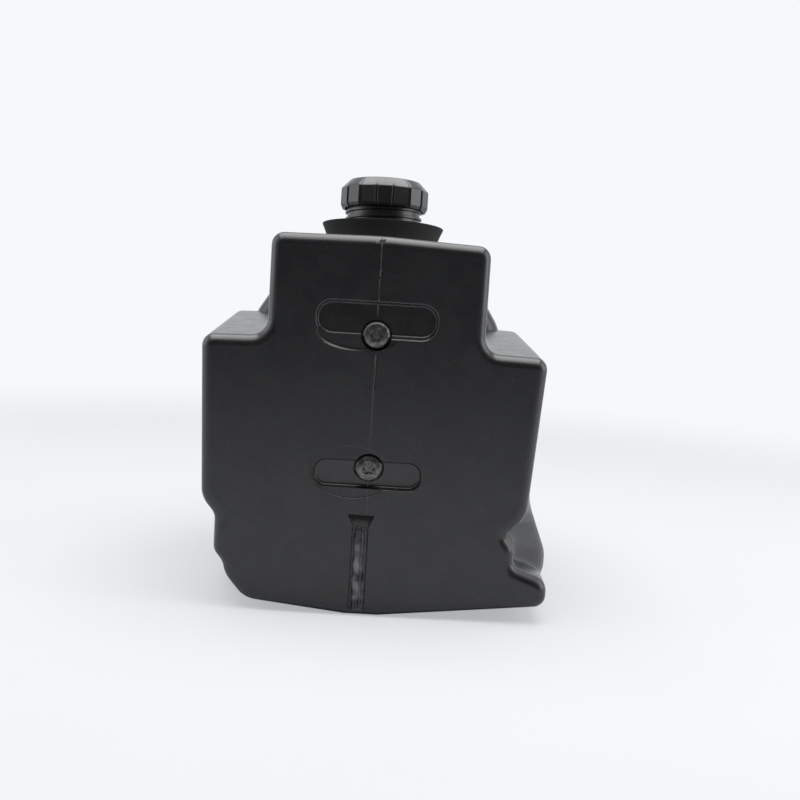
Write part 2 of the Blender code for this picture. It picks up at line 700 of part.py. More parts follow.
def thread(name, root, crest, low, turns, parent):
    """A helical ridge that stands from a root radius to a crest radius and runs out at both ends."""
    bm = bmesh.new()
    steps = round(turns * THREAD_STEPS_PER_TURN)
    outward = 1 if crest > root else -1
    buried = root - outward * THREAD_BURY
    sections = []
    for k in range(steps + 1):
        angle = 2 * math.pi * turns * k / steps
        height = low + THREAD_PITCH * turns * k / steps
        share = min(1.0, k / THREAD_RUNOUT, (steps - k) / THREAD_RUNOUT)
        top = buried + outward * THREAD_BURY / 2 + (crest - buried - outward * THREAD_BURY / 2) * share
        corners = (
            (buried, -THREAD_ROOT_WIDTH / 2),
            (top, -THREAD_CREST_WIDTH / 2),
            (top, THREAD_CREST_WIDTH / 2),
            (buried, THREAD_ROOT_WIDTH / 2),
        )
        across = (math.cos(angle), math.sin(angle))
        sections.append([bm.verts.new((r * across[0], r * across[1], height + rise)) for r, rise in corners])
    for near, far in zip(sections, sections[1:]):
        for i in range(len(corners)):
            j = (i + 1) % len(corners)
            bm.faces.new((near[i], near[j], far[j], far[i]))
    bm.faces.new(sections[0])
    bm.faces.new(sections[-1])
    return add_object(name, bm, parent)


def neck_form(neck_frame):
    """The neck with its thread, standing on the flat pad that takes the collar."""
    profile = [
        (0.0, NECK_HEIGHT),
        (NECK_RADIUS, NECK_HEIGHT),
        (NECK_RADIUS, NECK_PAD_HEIGHT),
        (NECK_PAD_RADIUS, NECK_PAD_HEIGHT),
        (NECK_PAD_RADIUS, -WALL),
        (0.0, -WALL),
    ]
    neck = turned("neck", profile, neck_frame, NECK_SIDES)
    crest = NECK_RADIUS + THREAD_HEIGHT
    ridge = thread("neck_thread", NECK_RADIUS, crest, NECK_THREAD_LOW, NECK_THREAD_TURNS, neck_frame)
    return add(neck, ridge)


def tank_shell(neck_frame, bolts, ports):
    """The one-piece moulding with its neck, pockets, port pads and hollow."""
    body = tank_body()
    hollow = tank_hollow()
    body = add(body, neck_form(neck_frame))
    upper = Pocket(UPPER_POCKET_WIDTH, UPPER_POCKET_SPAN, UPPER_POCKET_LIFT,
                   UPPER_DISH_WIDTH, UPPER_DISH_SPAN, UPPER_DISH_LIFT)
    lower = Pocket(LOWER_POCKET_WIDTH, LOWER_POCKET_SPAN, LOWER_POCKET_LIFT,
                   LOWER_DISH_WIDTH, LOWER_DISH_SPAN, LOWER_DISH_LIFT)
    for bolt_frame, pocket in zip(bolts, (upper, lower)):
        body, hollow = cut_pocket(body, hollow, bolt_frame, pocket)
    half = PINCH_WIDTH / 2
    low = (PINCH_X - half, FRONT_Y - OVERRUN, -OVERRUN)
    high = (PINCH_X + half, FRONT_Y + PINCH_DEPTH, PINCH_HEIGHT)
    body = cut(body, block("pinch", low, high))
    for port_frame, bore in ports:
        outer = insert_radius(bore)
        pad = disc_profile(outer + PORT_PAD_MARGIN, -PORT_PAD_HEIGHT - WALL, 0.0)
        body = add(body, turned("port_pad", pad, port_frame))
        boss = disc_profile(outer + CLEARANCE + WALL, -INSERT_LENGTH, 0.0)
        hollow = cut(hollow, turned("port_boss", boss, port_frame, HIDDEN_SIDES))
        hole = disc_profile(outer + CLEARANCE, -INSERT_LENGTH - OVERRUN, OVERRUN)
        hollow = add(hollow, turned("port_hole", hole, port_frame, HIDDEN_SIDES))
    bore = disc_profile(NECK_BORE, -WALL - OVERRUN, NECK_HEIGHT + OVERRUN)
    hollow = add(hollow, turned("neck_bore", bore, neck_frame, NECK_SIDES))
    return finish_piece(cut(body, hollow), BLACK_PLASTIC)


def filler_cap(neck_frame):
    """The screw cap: grip flats, chamfered top, inner thread, breather cage and valve guide."""
    half_flat = math.pi / CAP_FLATS
    half_groove = CAP_GROOVE_WIDTH / 2 / CAP_RADIUS
    grip = []
    for k in range(CAP_FLATS):
        middle = 2 * half_flat * k
        for radius, turn in (
            (CAP_RADIUS, half_groove - half_flat),
            (CAP_RADIUS, half_flat - half_groove),
            (CAP_RADIUS - CAP_GROOVE_DEPTH, half_flat),
        ):
            grip.append((radius * math.cos(middle + turn), radius * math.sin(middle + turn)))
    shoulder = CAP_FOOT + CAP_SKIRT_HEIGHT
    levels = (
        (CAP_FOOT, 1.0 - CAP_LIP / CAP_RADIUS),
        (CAP_FOOT + CAP_LIP, 1.0),
        (shoulder, 1.0),
        (shoulder + CAP_LIP, 1.0 - CAP_LIP / CAP_RADIUS),
        (CAP_TOP - CAP_LIP, CAP_TOP_RADIUS / CAP_RADIUS),
        (CAP_TOP, (CAP_TOP_RADIUS - CAP_LIP) / CAP_RADIUS),
    )
    cap = lofted("filler_cap", [[(x * k, y * k, z) for x, y in grip] for z, k in levels], neck_frame)
    under = CAP_FOOT - OVERRUN
    void = [
        (0.0, GUIDE_FOOT + GUIDE_DEPTH + CLEARANCE),
        (VALVE_STEM_RADIUS + CLEARANCE, GUIDE_FOOT + GUIDE_DEPTH + CLEARANCE),
        (VALVE_STEM_RADIUS + CLEARANCE, GUIDE_FOOT),
        (GUIDE_RADIUS, GUIDE_FOOT),
        (GUIDE_RADIUS, CAP_CEILING),
        (CAGE_BORE, CAP_CEILING),
        (CAGE_BORE, CAGE_FOOT + CAGE_LIP_HEIGHT),
        (CAGE_BORE - CAGE_LIP, CAGE_FOOT + CAGE_LIP_HEIGHT),
        (CAGE_BORE - CAGE_LIP, CAGE_FOOT),
        (CAGE_RADIUS, CAGE_FOOT),
        (CAGE_RADIUS, CAP_CEILING),
        (CAP_SEAT_RADIUS, CAP_CEILING),
        (CAP_SEAT_RADIUS, NECK_HEIGHT),
        (CAP_BORE, NECK_HEIGHT - CAP_BORE + CAP_SEAT_RADIUS),
        (CAP_BORE, under),
        (0.0, under),
    ]
    cap = cut(cap, turned("cap_void", void, neck_frame, NECK_SIDES))
    low = NECK_THREAD_LOW + CAP_THREAD_OFFSET * THREAD_PITCH
    crest = NECK_RADIUS + THREAD_CREST_GAP
    cap = add(cap, thread("cap_thread", CAP_BORE, crest, low, CAP_THREAD_TURNS, neck_frame))
    half = CAP_VENT_WIDTH / 2
    top = CAP_CEILING + CAP_VENT_DEPTH
    for turn in (0, 1):
        long_side = (CAP_SEAT_RADIUS - CLEARANCE, half)
        x, y = long_side if turn == 0 else reversed(long_side)
        cap = cut(cap, block("vent", (-x, -y, CAP_CEILING - CLEARANCE), (x, y, top), neck_frame))
    return finish_piece(cap, GLOSS_PLASTIC)


def cap_inside(neck_frame):
    """The gasket, breather plate, filter, relief valve and spring under the cap."""
    outer = CAP_SEAT_RADIUS - GASKET_INSET
    ring = ring_profile(NECK_BORE + GASKET_INSET, outer, GASKET_BOTTOM, GASKET_BOTTOM + GASKET_THICKNESS)
    finish_piece(turned("cap_gasket", ring, neck_frame, NECK_SIDES), RUBBER)

    edge = CAGE_BORE - CLEARANCE
    plate_ring = ring_profile(PLATE_SEAT_RADIUS, edge, PLATE_BOTTOM, PLATE_TOP)
    plate = turned("breather_plate", plate_ring, neck_frame)
    for k in range(PLATE_HOLES):
        angle = 2 * math.pi * k / PLATE_HOLES
        profile = disc_profile(PLATE_HOLE_RADIUS, -OVERRUN, OVERRUN)
        hole = turned("hole", profile, neck_frame, HOLE_SIDES)
        across = PLATE_HOLE_CIRCLE * Vector((math.cos(angle), math.sin(angle)))
        hole.location = (across.x, across.y, PLATE_BOTTOM)
        cut(plate, hole)
    finish_piece(plate, WHITE_NYLON)

    low = PLATE_TOP + CLEARANCE
    filter_ring = ring_profile(FILTER_BORE, edge, low, CAP_CEILING - CLEARANCE)
    finish_piece(turned("breather_filter", filter_ring, neck_frame), GREY_FOAM)

    stem_top = CAP_CEILING - VALVE_TRAVEL
    valve = [
        (0.0, stem_top),
        (VALVE_STEM_RADIUS, stem_top),
        (VALVE_STEM_RADIUS, VALVE_TOP),
        (VALVE_RADIUS, VALVE_TOP),
        (VALVE_RADIUS, VALVE_BOTTOM),
        (0.0, VALVE_BOTTOM),
    ]
    finish_piece(turned("relief_valve", valve, neck_frame), BRASS)
    relief_spring(neck_frame)


def relief_spring(neck_frame):
    """A helix of wire between the valve and its guide, with the least gap between its coils printed."""
    wire = SPRING_WIRE / 2
    low = VALVE_TOP + CLEARANCE + wire
    high = GUIDE_FOOT - CLEARANCE - wire
    count = SPRING_COILS * SPRING_POINTS_PER_COIL
    points = []
    for k in range(count + 1):
        angle = 2 * math.pi * k / SPRING_POINTS_PER_COIL
        across = SPRING_MEAN_RADIUS * Vector((math.cos(angle), math.sin(angle)))
        points.append(Vector((across.x, across.y, low + (high - low) * k / count)))
    apart = SPRING_POINTS_PER_COIL // 2
    least = min((a - b).length for i, a in enumerate(points) for b in points[i + apart :]) - SPRING_WIRE
    print(f"relief_spring least gap to itself {least / MM:.2f} mm")
    curve = bpy.data.curves.new("relief_spring", "CURVE")
    curve.dimensions = "3D"
    curve.bevel_depth = wire
    curve.bevel_resolution = SPRING_FACETS
    curve.use_fill_caps = True
    spline = curve.splines.new("POLY")
    spline.points.add(count)
    for point, place in zip(spline.points, points):
        point.co = (*place, 1.0)
    spring = bpy.data.objects.new("relief_spring", curve)
    spring.parent = neck_frame
    bpy.context.scene.collection.objects.link(spring)
    curve.materials.append(material("relief_spring", ZINC_STEEL))


def neck_pieces(neck_frame):
    """The rubber collar round the neck and the strainer basket that hangs in it."""
    bore = NECK_RADIUS + CLEARANCE
    floor = COLLAR_BOTTOM + COLLAR_FLOOR
    rim = COLLAR_BOTTOM + COLLAR_HEIGHT
    lean = (COLLAR_RIM_RADIUS - COLLAR_FOOT_RADIUS) * COLLAR_FLOOR / COLLAR_HEIGHT
    collar = [
        (bore, floor),
        (COLLAR_FOOT_RADIUS + lean - COLLAR_WALL, floor),
        (COLLAR_RIM_RADIUS - COLLAR_WALL, rim),
        (COLLAR_RIM_RADIUS, rim),
        (COLLAR_FOOT_RADIUS, COLLAR_BOTTOM),
        (bore, COLLAR_BOTTOM),
    ]
    finish_piece(turned("neck_collar", collar, neck_frame, NECK_SIDES), RUBBER)

    inner = BASKET_BORE
    top = FLANGE_BOTTOM + FLANGE_THICKNESS
    basket = [
        (0.0, -BASKET_DROP + BASKET_WALL),
        (inner, -BASKET_DROP + BASKET_WALL),
        (inner, top),
        (NECK_RADIUS - GASKET_INSET, top),
        (NECK_RADIUS - GASKET_INSET, FLANGE_BOTTOM),
        (BASKET_RADIUS, FLANGE_BOTTOM),
        (BASKET_RADIUS, -BASKET_DROP),
        (0.0, -BASKET_DROP),
    ]
    strainer = turned("filler_strainer", basket, neck_frame, ROUND_SIDES)
    half = BASKET_WINDOW_WIDTH / 2
    low = -BASKET_DROP + BASKET_WALL + BASKET_WINDOW_MARGIN
    high = -WALL - BASKET_WINDOW_MARGIN
    far = NECK_BORE + OVERRUN
    for x, y in ((far, half), (half, far)):
        cut(strainer, block("window", (-x, -y, low), (x, y, high), neck_frame))
    finish_piece(strainer, WHITE_NYLON)


def lobed_socket(parent, top):
    """The six-lobe socket of a screw head."""
    count = SOCKET_LOBES * LOBE_STEPS
    outline_points = []
    for k in range(count):
        angle = 2 * math.pi * k / count
        radius = SOCKET_RADIUS + SOCKET_LOBE * math.cos(SOCKET_LOBES * angle)
        outline_points.append((radius * math.cos(angle), radius * math.sin(angle)))
    return prism("socket", outline_points, top - SOCKET_DEPTH, top + OVERRUN, parent)


def insert_profile(bore, outer, top):
    """The half section of a moulded-in insert with a holding groove round it."""
    bottom = top - INSERT_LENGTH
    third = INSERT_LENGTH / 3
    return [
        (bore, top),
        (outer, top),
        (outer, top - third),
        (outer - INSERT_GROOVE, top - third),
        (outer - INSERT_GROOVE, bottom + third),
        (outer, bottom + third),
        (outer, bottom),
        (bore, bottom),
    ]


def insert_radius(bolt):
    """Outer radius of the insert that takes a thread of some radius."""
    return bolt + CLEARANCE + INSERT_WALL


def bolt_pieces(name, bolt_frame):
    """A button-head screw seated in its pocket, and the insert behind it."""
    seat = -BOLT_SEAT_DEPTH
    top = seat + CLEARANCE + BOLT_HEAD_HEIGHT
    edge = top - BOLT_HEAD_HEIGHT / 2
    middle = (BOLT_HEAD_RADIUS + BOLT_CROWN_RADIUS) / 2
    screw = [
        (0.0, top),
        (BOLT_CROWN_RADIUS, top),
        (middle + SOCKET_LOBE, top - (top - edge) / 3),
        (BOLT_HEAD_RADIUS, edge),
        (BOLT_HEAD_RADIUS, seat + CLEARANCE),
        (BOLT_RADIUS, seat + CLEARANCE),
        (BOLT_RADIUS, seat - BOLT_LENGTH),
        (0.0, seat - BOLT_LENGTH),
    ]
    piece = turned(f"{name}_screw", screw, bolt_frame)
    finish_piece(cut(piece, lobed_socket(bolt_frame, top)), BLACK_STEEL)
    sleeve = insert_profile(BOLT_RADIUS + CLEARANCE, insert_radius(BOLT_RADIUS), seat)
    finish_piece(turned(f"{name}_insert", sleeve, bolt_frame, HIDDEN_SIDES), BRASS)


def port_insert(name, port_frame, bolt):
    """The insert moulded into a port's boss."""
    profile = insert_profile(bolt + CLEARANCE, insert_radius(bolt), 0.0)
    finish_piece(turned(f"{name}_insert", profile, port_frame, HIDDEN_SIDES), BRASS)


def port_seal(name, port_frame, bolt):
    """The sealing ring between an insert's face and what screws into it."""
    inner = bolt + CLEARANCE
    ring = ring_profile(inner, inner + SEAL_WIDTH, CLEARANCE, CLEARANCE + SEAL_SECTION)
    finish_piece(turned(f"{name}_seal", ring, port_frame), RUBBER)


def hexagon(radius):
    """A hexagonal outline."""
    angles = [2 * math.pi * k / HEX_SIDES for k in range(HEX_SIDES)]
    return [(radius * math.cos(a), radius * math.sin(a)) for a in angles]


def hose_fitting(name, port_frame, bolt):
    """A screwed hose tail: thread end, hexagon and barbed spigot, bored through."""
    bore = bolt - HOSE_WALL
    hex_low = SEAL_SECTION + 2 * CLEARANCE
    hex_top = hex_low + HEX_HEIGHT
    step = BARB_LENGTH / BARB_RIDGES
    tail = [(bore, hex_top + BARB_LENGTH)]
    for k in reversed(range(BARB_RIDGES)):
        low = hex_top + k * step
        tail.append((bolt - BARB_RIDGE_HEIGHT, low + step))
        tail.append((bolt, low + step / 3))
        tail.append((bolt - BARB_RIDGE_HEIGHT, low + step / 3))
    stem = [
        (bolt - BARB_RIDGE_HEIGHT, hex_top - CLEARANCE),
        (bolt, hex_top - CLEARANCE),
        (bolt, -PORT_ENGAGEMENT),
        (bore, -PORT_ENGAGEMENT),
    ]
    piece = turned(f"{name}_fitting", tail + stem, port_frame)
    body = prism("hex", hexagon(bolt + HEX_MARGIN), hex_low, hex_top, port_frame)
    hollow = disc_profile(bolt - HOSE_WALL / 2, -OVERRUN, hex_top + OVERRUN)
    body = cut(body, turned("hex_bore", hollow, port_frame))
    finish_piece(add(piece, body), ZINC_STEEL)


def suction_strainer(port_frame):
    """A cage on the inner end of the suction insert, closed at its far end, with two pairs of windows."""
    spigot = SUCTION_THREAD - CLEARANCE
    bore = spigot - HOSE_WALL
    near = -INSERT_LENGTH - CLEARANCE
    far = near - SUCTION_CAGE_LENGTH
    wall = SUCTION_CAGE_WALL
    profile = [
        (bore, near + PORT_SPIGOT),
        (spigot, near + PORT_SPIGOT),
        (spigot, near),
        (SUCTION_CAGE_RADIUS, near),
        (SUCTION_CAGE_RADIUS, far),
        (0.0, far),
    ]
    inside = [
        (0.0, far + wall),
        (SUCTION_CAGE_RADIUS - wall, far + wall),
        (SUCTION_CAGE_RADIUS - wall, near - wall),
        (bore, near - wall),
    ]
    cage = turned("suction_strainer", inside + profile, port_frame)
    half = SUCTION_WINDOW_WIDTH / 2
    low = far + SUCTION_WINDOW_MARGIN
    high = near - SUCTION_WINDOW_MARGIN
    reach = SUCTION_CAGE_RADIUS + OVERRUN
    for x, y in ((reach, half), (half, reach)):
        cut(cage, block("window", (-x, -y, low), (x, y, high), port_frame))
    finish_piece(cage, ZINC_STEEL)


def return_tube(port_frame):
    """The drop tube from the inner end of the return insert: along the port, round a bend, then down."""
    radius = RETURN_THREAD - CLEARANCE
    start = -INSERT_LENGTH + PORT_SPIGOT
    turn = -INSERT_LENGTH - RETURN_RUN
    path = [Vector((0, 0, start)), Vector((0, 0, turn))]
    for k in range(1, BEND_STEPS + 1):
        angle = k / BEND_STEPS * math.pi / 2
        path.append(Vector((0, RETURN_BEND * (1 - math.cos(angle)), turn - RETURN_BEND * math.sin(angle))))
    path.append(path[-1] + Vector((0, RETURN_DROP, 0)))
    tube = swept("return_tube", path, radius, port_frame)
    longer = [path[0] + Vector((0, 0, OVERRUN)), *path[1:-1], path[-1] + Vector((0, OVERRUN, 0))]
    bore = swept("bore", longer, radius - RETURN_TUBE_WALL, port_frame)
    finish_piece(cut(tube, bore), ZINC_STEEL)


def swept(name, path, radius, parent):
    """A round bar along a path, as a mesh object."""
    curve = bpy.data.curves.new(name, "CURVE")
    curve.dimensions = "3D"
    curve.bevel_depth = radius
    curve.bevel_resolution = TUBE_FACETS
    curve.use_fill_caps = True
    spline = curve.splines.new("POLY")
    spline.points.add(len(path) - 1)
    for point, place in zip(spline.points, path):
        point.co = (*place, 1.0)
    guide = bpy.data.objects.new("guide", curve)
    bpy.context.scene.collection.objects.link(guide)
    evaluated = guide.evaluated_get(bpy.context.evaluated_depsgraph_get())
    bm = bmesh.new()
    bm.from_mesh(bpy.data.meshes.new_from_object(evaluated))
    bpy.data.objects.remove(guide, do_unlink=True)
    return add_object(name, bm, parent)


def drain_plug(port_frame):
    """A flanged plug with a hexagon socket."""
    low = SEAL_SECTION + 2 * CLEARANCE
    top = low + DRAIN_HEAD_HEIGHT
    head = DRAIN_THREAD + HEX_MARGIN
    profile = [
        (0.0, top),
        (head - CLEARANCE, top),
        (head, low + DRAIN_HEAD_HEIGHT / 2),
        (head, low),
        (DRAIN_THREAD, low),
        (DRAIN_THREAD, -PORT_ENGAGEMENT),
        (0.0, -PORT_ENGAGEMENT),
    ]
    plug = turned("drain_plug", profile, port_frame)
    floor = top - DRAIN_SOCKET_DEPTH
    socket = prism("socket", hexagon(DRAIN_SOCKET_RADIUS), floor, top + OVERRUN, port_frame)
    finish_piece(cut(plug, socket), ZINC_STEEL)


def sight_pieces(port_frame):
    """The level window: a hexagon body that screws into the port, and the clear lens on its inner shelf."""
    low = SEAL_SECTION + 2 * CLEARANCE
    top = low + HEX_HEIGHT
    bore = SIGHT_LENS_RADIUS + CLEARANCE
    shelf = SIGHT_LENS_RADIUS - SIGHT_LENS_SHELF
    floor = top - SIGHT_LENS_THICKNESS - CLEARANCE
    body = prism("sight_body", hexagon(SIGHT_THREAD + HEX_MARGIN), low, top, port_frame)
    stem = disc_profile(SIGHT_THREAD, -PORT_ENGAGEMENT, top - HEX_HEIGHT / 2)
    body = add(body, turned("stem", stem, port_frame))
    void = [(0.0, top + OVERRUN), (bore, top + OVERRUN), (bore, floor), (shelf, floor)]
    void += [(shelf, -PORT_ENGAGEMENT - OVERRUN), (0.0, -PORT_ENGAGEMENT - OVERRUN)]
    finish_piece(cut(body, turned("sight_void", void, port_frame)), ZINC_STEEL)
    lens = disc_profile(SIGHT_LENS_RADIUS, floor + CLEARANCE, floor + CLEARANCE + SIGHT_LENS_THICKNESS)
    finish_piece(turned("sight_lens", lens, port_frame), CLEAR_PLASTIC)


def main():
    """Builds every piece of the reservoir."""
    clear_scene()
    neck_place = (0.0, FRONT_Y + NECK_SETBACK, roof_height(NECK_SETBACK))
    neck_frame = frame("neck_frame", neck_place, -ROOF_PITCH)
    bolts = [
        frame("upper_bolt", (0.0, FRONT_Y, UPPER_BOLT_HEIGHT), math.pi / 2),
        frame("lower_bolt", (0.0, FRONT_Y, LOWER_BOLT_HEIGHT), math.pi / 2),
    ]
    port_sizes = {
        "suction": (SUCTION_X, SUCTION_HEIGHT, SUCTION_THREAD),
        "return": (RETURN_X, RETURN_HEIGHT, RETURN_THREAD),
        "drain": (DRAIN_X, DRAIN_HEIGHT, DRAIN_THREAD),
        "sight": (SIGHT_X, SIGHT_HEIGHT, SIGHT_THREAD),
    }
    ports = {}
    for name, (x, height, bolt) in port_sizes.items():
        ports[name] = (frame(f"{name}_port", (x, PORT_Y, height), -math.pi / 2), bolt)
    bpy.context.view_layer.update()

    tank_shell(neck_frame, bolts, ports.values())
    filler_cap(neck_frame)
    cap_inside(neck_frame)
    neck_pieces(neck_frame)
    for name, bolt_frame in zip(("upper", "lower"), bolts):
        bolt_pieces(name, bolt_frame)
    for name, (port_frame, bolt) in ports.items():
        port_insert(name, port_frame, bolt)
        port_seal(name, port_frame, bolt)
    for name in ("suction", "return"):
        hose_fitting(name, *ports[name])
    suction_strainer(ports["suction"][0])
    return_tube(ports["return"][0])
    drain_plug(ports["drain"][0])
    sight_pieces(ports["sight"][0])


main()
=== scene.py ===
"""Looks of a hydraulic reservoir: a black blow-moulded oil tank with a breather cap, in a white studio.

Metres, +Z up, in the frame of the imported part. The bolted face looks along -Y, and the plane X = 0 is where
the mould's halves met. Depths are measured back from the bolted face.
"""

import json
import logging
import math
from collections.abc import Callable, Sequence
from dataclasses import dataclass, replace
from enum import Enum

import bmesh
import bpy
from mathutils import Euler, Matrix, Vector, noise


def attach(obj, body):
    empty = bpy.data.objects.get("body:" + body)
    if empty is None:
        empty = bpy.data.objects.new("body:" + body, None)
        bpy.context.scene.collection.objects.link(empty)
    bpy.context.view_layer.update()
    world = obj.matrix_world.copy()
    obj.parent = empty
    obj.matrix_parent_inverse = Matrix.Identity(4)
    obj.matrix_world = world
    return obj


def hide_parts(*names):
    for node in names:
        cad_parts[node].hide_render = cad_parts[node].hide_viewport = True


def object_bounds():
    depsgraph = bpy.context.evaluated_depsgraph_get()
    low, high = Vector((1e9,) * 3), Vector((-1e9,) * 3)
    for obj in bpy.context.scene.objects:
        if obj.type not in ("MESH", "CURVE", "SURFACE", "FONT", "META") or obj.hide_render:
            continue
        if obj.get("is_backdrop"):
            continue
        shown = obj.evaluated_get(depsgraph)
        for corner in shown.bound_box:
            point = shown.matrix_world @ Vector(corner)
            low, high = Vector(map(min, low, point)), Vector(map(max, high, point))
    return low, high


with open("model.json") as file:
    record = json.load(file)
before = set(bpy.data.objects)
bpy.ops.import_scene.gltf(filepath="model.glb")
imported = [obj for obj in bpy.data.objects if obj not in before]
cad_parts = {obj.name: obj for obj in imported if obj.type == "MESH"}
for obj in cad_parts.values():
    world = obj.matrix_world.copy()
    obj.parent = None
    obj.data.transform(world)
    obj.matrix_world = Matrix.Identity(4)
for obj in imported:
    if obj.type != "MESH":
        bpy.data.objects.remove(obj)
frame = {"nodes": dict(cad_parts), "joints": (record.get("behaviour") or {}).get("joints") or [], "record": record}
CAD_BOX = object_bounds()

LOG = logging.getLogger("reservoir")
MM = 0.001
CLEARANCE = 0.3 * MM
WELD = 0.002 * MM
OVERRUN = 6 * MM
WHOLE_TURN = 2 * math.pi
QUARTER_TURN = math.pi / 2
SMOOTH_ANGLE = math.radians(38)
ROUND_SIDES = 72
SMALL_SIDES = 48
HEX_SIDES = 6

Colour = tuple[float, float, float]
Point = tuple[float, float, float]
Flat = tuple[float, float]


class Join(Enum):
    """What a Boolean does with its tool."""

    ADD = "UNION"
    CUT = "DIFFERENCE"


class Body(Enum):
    """The moving groups that new pieces ride on."""

    TANK = "tank"
    CAP = "cap"


@dataclass(frozen=True)
class Corner:
    """A corner of an outline; its rounding starts reach away from it."""

    x: float
    z: float
    reach: float = 0.0

    def place(self) -> Vector:
        """The corner as a vector."""
        return Vector((self.x, self.z))


def arc(before: Vector, here: Vector, after: Vector, steps: int) -> list[Vector]:
    """Rounds a corner.

    Args:
        before: where the arc starts.
        here: the corner.
        after: where the arc ends, as far from the corner.
        steps: pieces in the arc.

    Returns:
        Points of a circular arc.
    """
    weight = math.cos(0.5 * (before - here).angle(here - after, 0.0))
    found = []
    for k in range(steps + 1):
        t = k / steps
        shares = ((1 - t) ** 2, 2 * weight * t * (1 - t), t**2)
        total = before * shares[0] + here * shares[1] + after * shares[2]
        found.append(total / sum(shares))
    return found


class Outline:
    """A closed outline with rounded corners, listed counter-clockwise."""

    SIDE_SHARE = 0.45
    LEAST_REACH = 0.3 * MM

    def __init__(self, corners: Sequence[Corner]) -> None:
        """Keeps the corners."""
        self.corners = list(corners)

    def inset(self, distance: float) -> "Outline":
        """Moves every side inwards.

        Args:
            distance: how far, or outwards where it is negative.

        Returns:
            An outline with as many corners.
        """
        moved = []
        count = len(self.corners)
        for i, corner in enumerate(self.corners):
            here = corner.place()
            arriving = (here - self.corners[i - 1].place()).normalized()
            leaving = (self.corners[(i + 1) % count].place() - here).normalized()
            inward = Vector((-arriving.y - leaving.y, arriving.x + leaving.x))
            turn = math.atan2(arriving.cross(leaving), arriving.dot(leaving))
            place = here + inward * (distance / (1.0 + arriving.dot(leaving)))
            reach = max(corner.reach - distance * math.tan(turn / 2), self.LEAST_REACH)
            moved.append(Corner(place.x, place.y, reach))
        return Outline(moved)

    def blended(self, other: "Outline", share: float) -> "Outline":
        """Goes part of the way to another outline.

        Args:
            other: an outline with as many corners.
            share: 0 for this outline, 1 for the other.

        Returns:
            The outline between them.
        """
        mixed = []
        for a, b in zip(self.corners, other.corners):
            place = a.place().lerp(b.place(), share)
            mixed.append(Corner(place.x, place.y, a.reach + (b.reach - a.reach) * share))
        return Outline(mixed)

    def points(self, steps: int) -> list[Vector]:
        """Turns the corners into arcs.

        Args:
            steps: pieces in each arc.

        Returns:
            The points round the outline.
        """
        found = []
        count = len(self.corners)
        for i, corner in enumerate(self.corners):
            here = corner.place()
            before = self.corners[i - 1].place() - here
            after = self.corners[(i + 1) % count].place() - here
            reach = min(corner.reach, self.SIDE_SHARE * min(before.length, after.length))
            start = here + before.normalized() * reach
            found += arc(start, here, here + after.normalized() * reach, steps)
        return found

    def ring(self, y: float, steps: int) -> list[Point]:
        """The outline's points on one plane across Y."""
        return [(p.x, y, p.y) for p in self.points(steps)]


def profile(*corners: Corner, steps: int = 5) -> list[Flat]:
    """An open half section with arcs at the corners that have a reach.

    Args:
        corners: the section's corners, as radius, height and reach.
        steps: pieces in each arc.

    Returns:
        (radius, height) points.
    """
    found = []
    for i, corner in enumerate(corners):
        here = corner.place()
        if corner.reach == 0.0 or i in (0, len(corners) - 1):
            found.append((corner.x, corner.z))
            continue
        before = (corners[i - 1].place() - here).normalized() * corner.reach
        after = (corners[i + 1].place() - here).normalized() * corner.reach
        found += [tuple(p) for p in arc(here + before, here, here + after, steps)]
    return found


def disc(radius: float, low: float, high: float) -> list[Flat]:
    """The half section of a plain disc."""
    return [(0.0, high), (radius, high), (radius, low), (0.0, low)]


def hexagon(radius: float) -> list[Flat]:
    """A hexagonal outline."""
    angles = [WHOLE_TURN * k / HEX_SIDES for k in range(HEX_SIDES)]
    return [(radius * math.cos(a), radius * math.sin(a)) for a in angles]


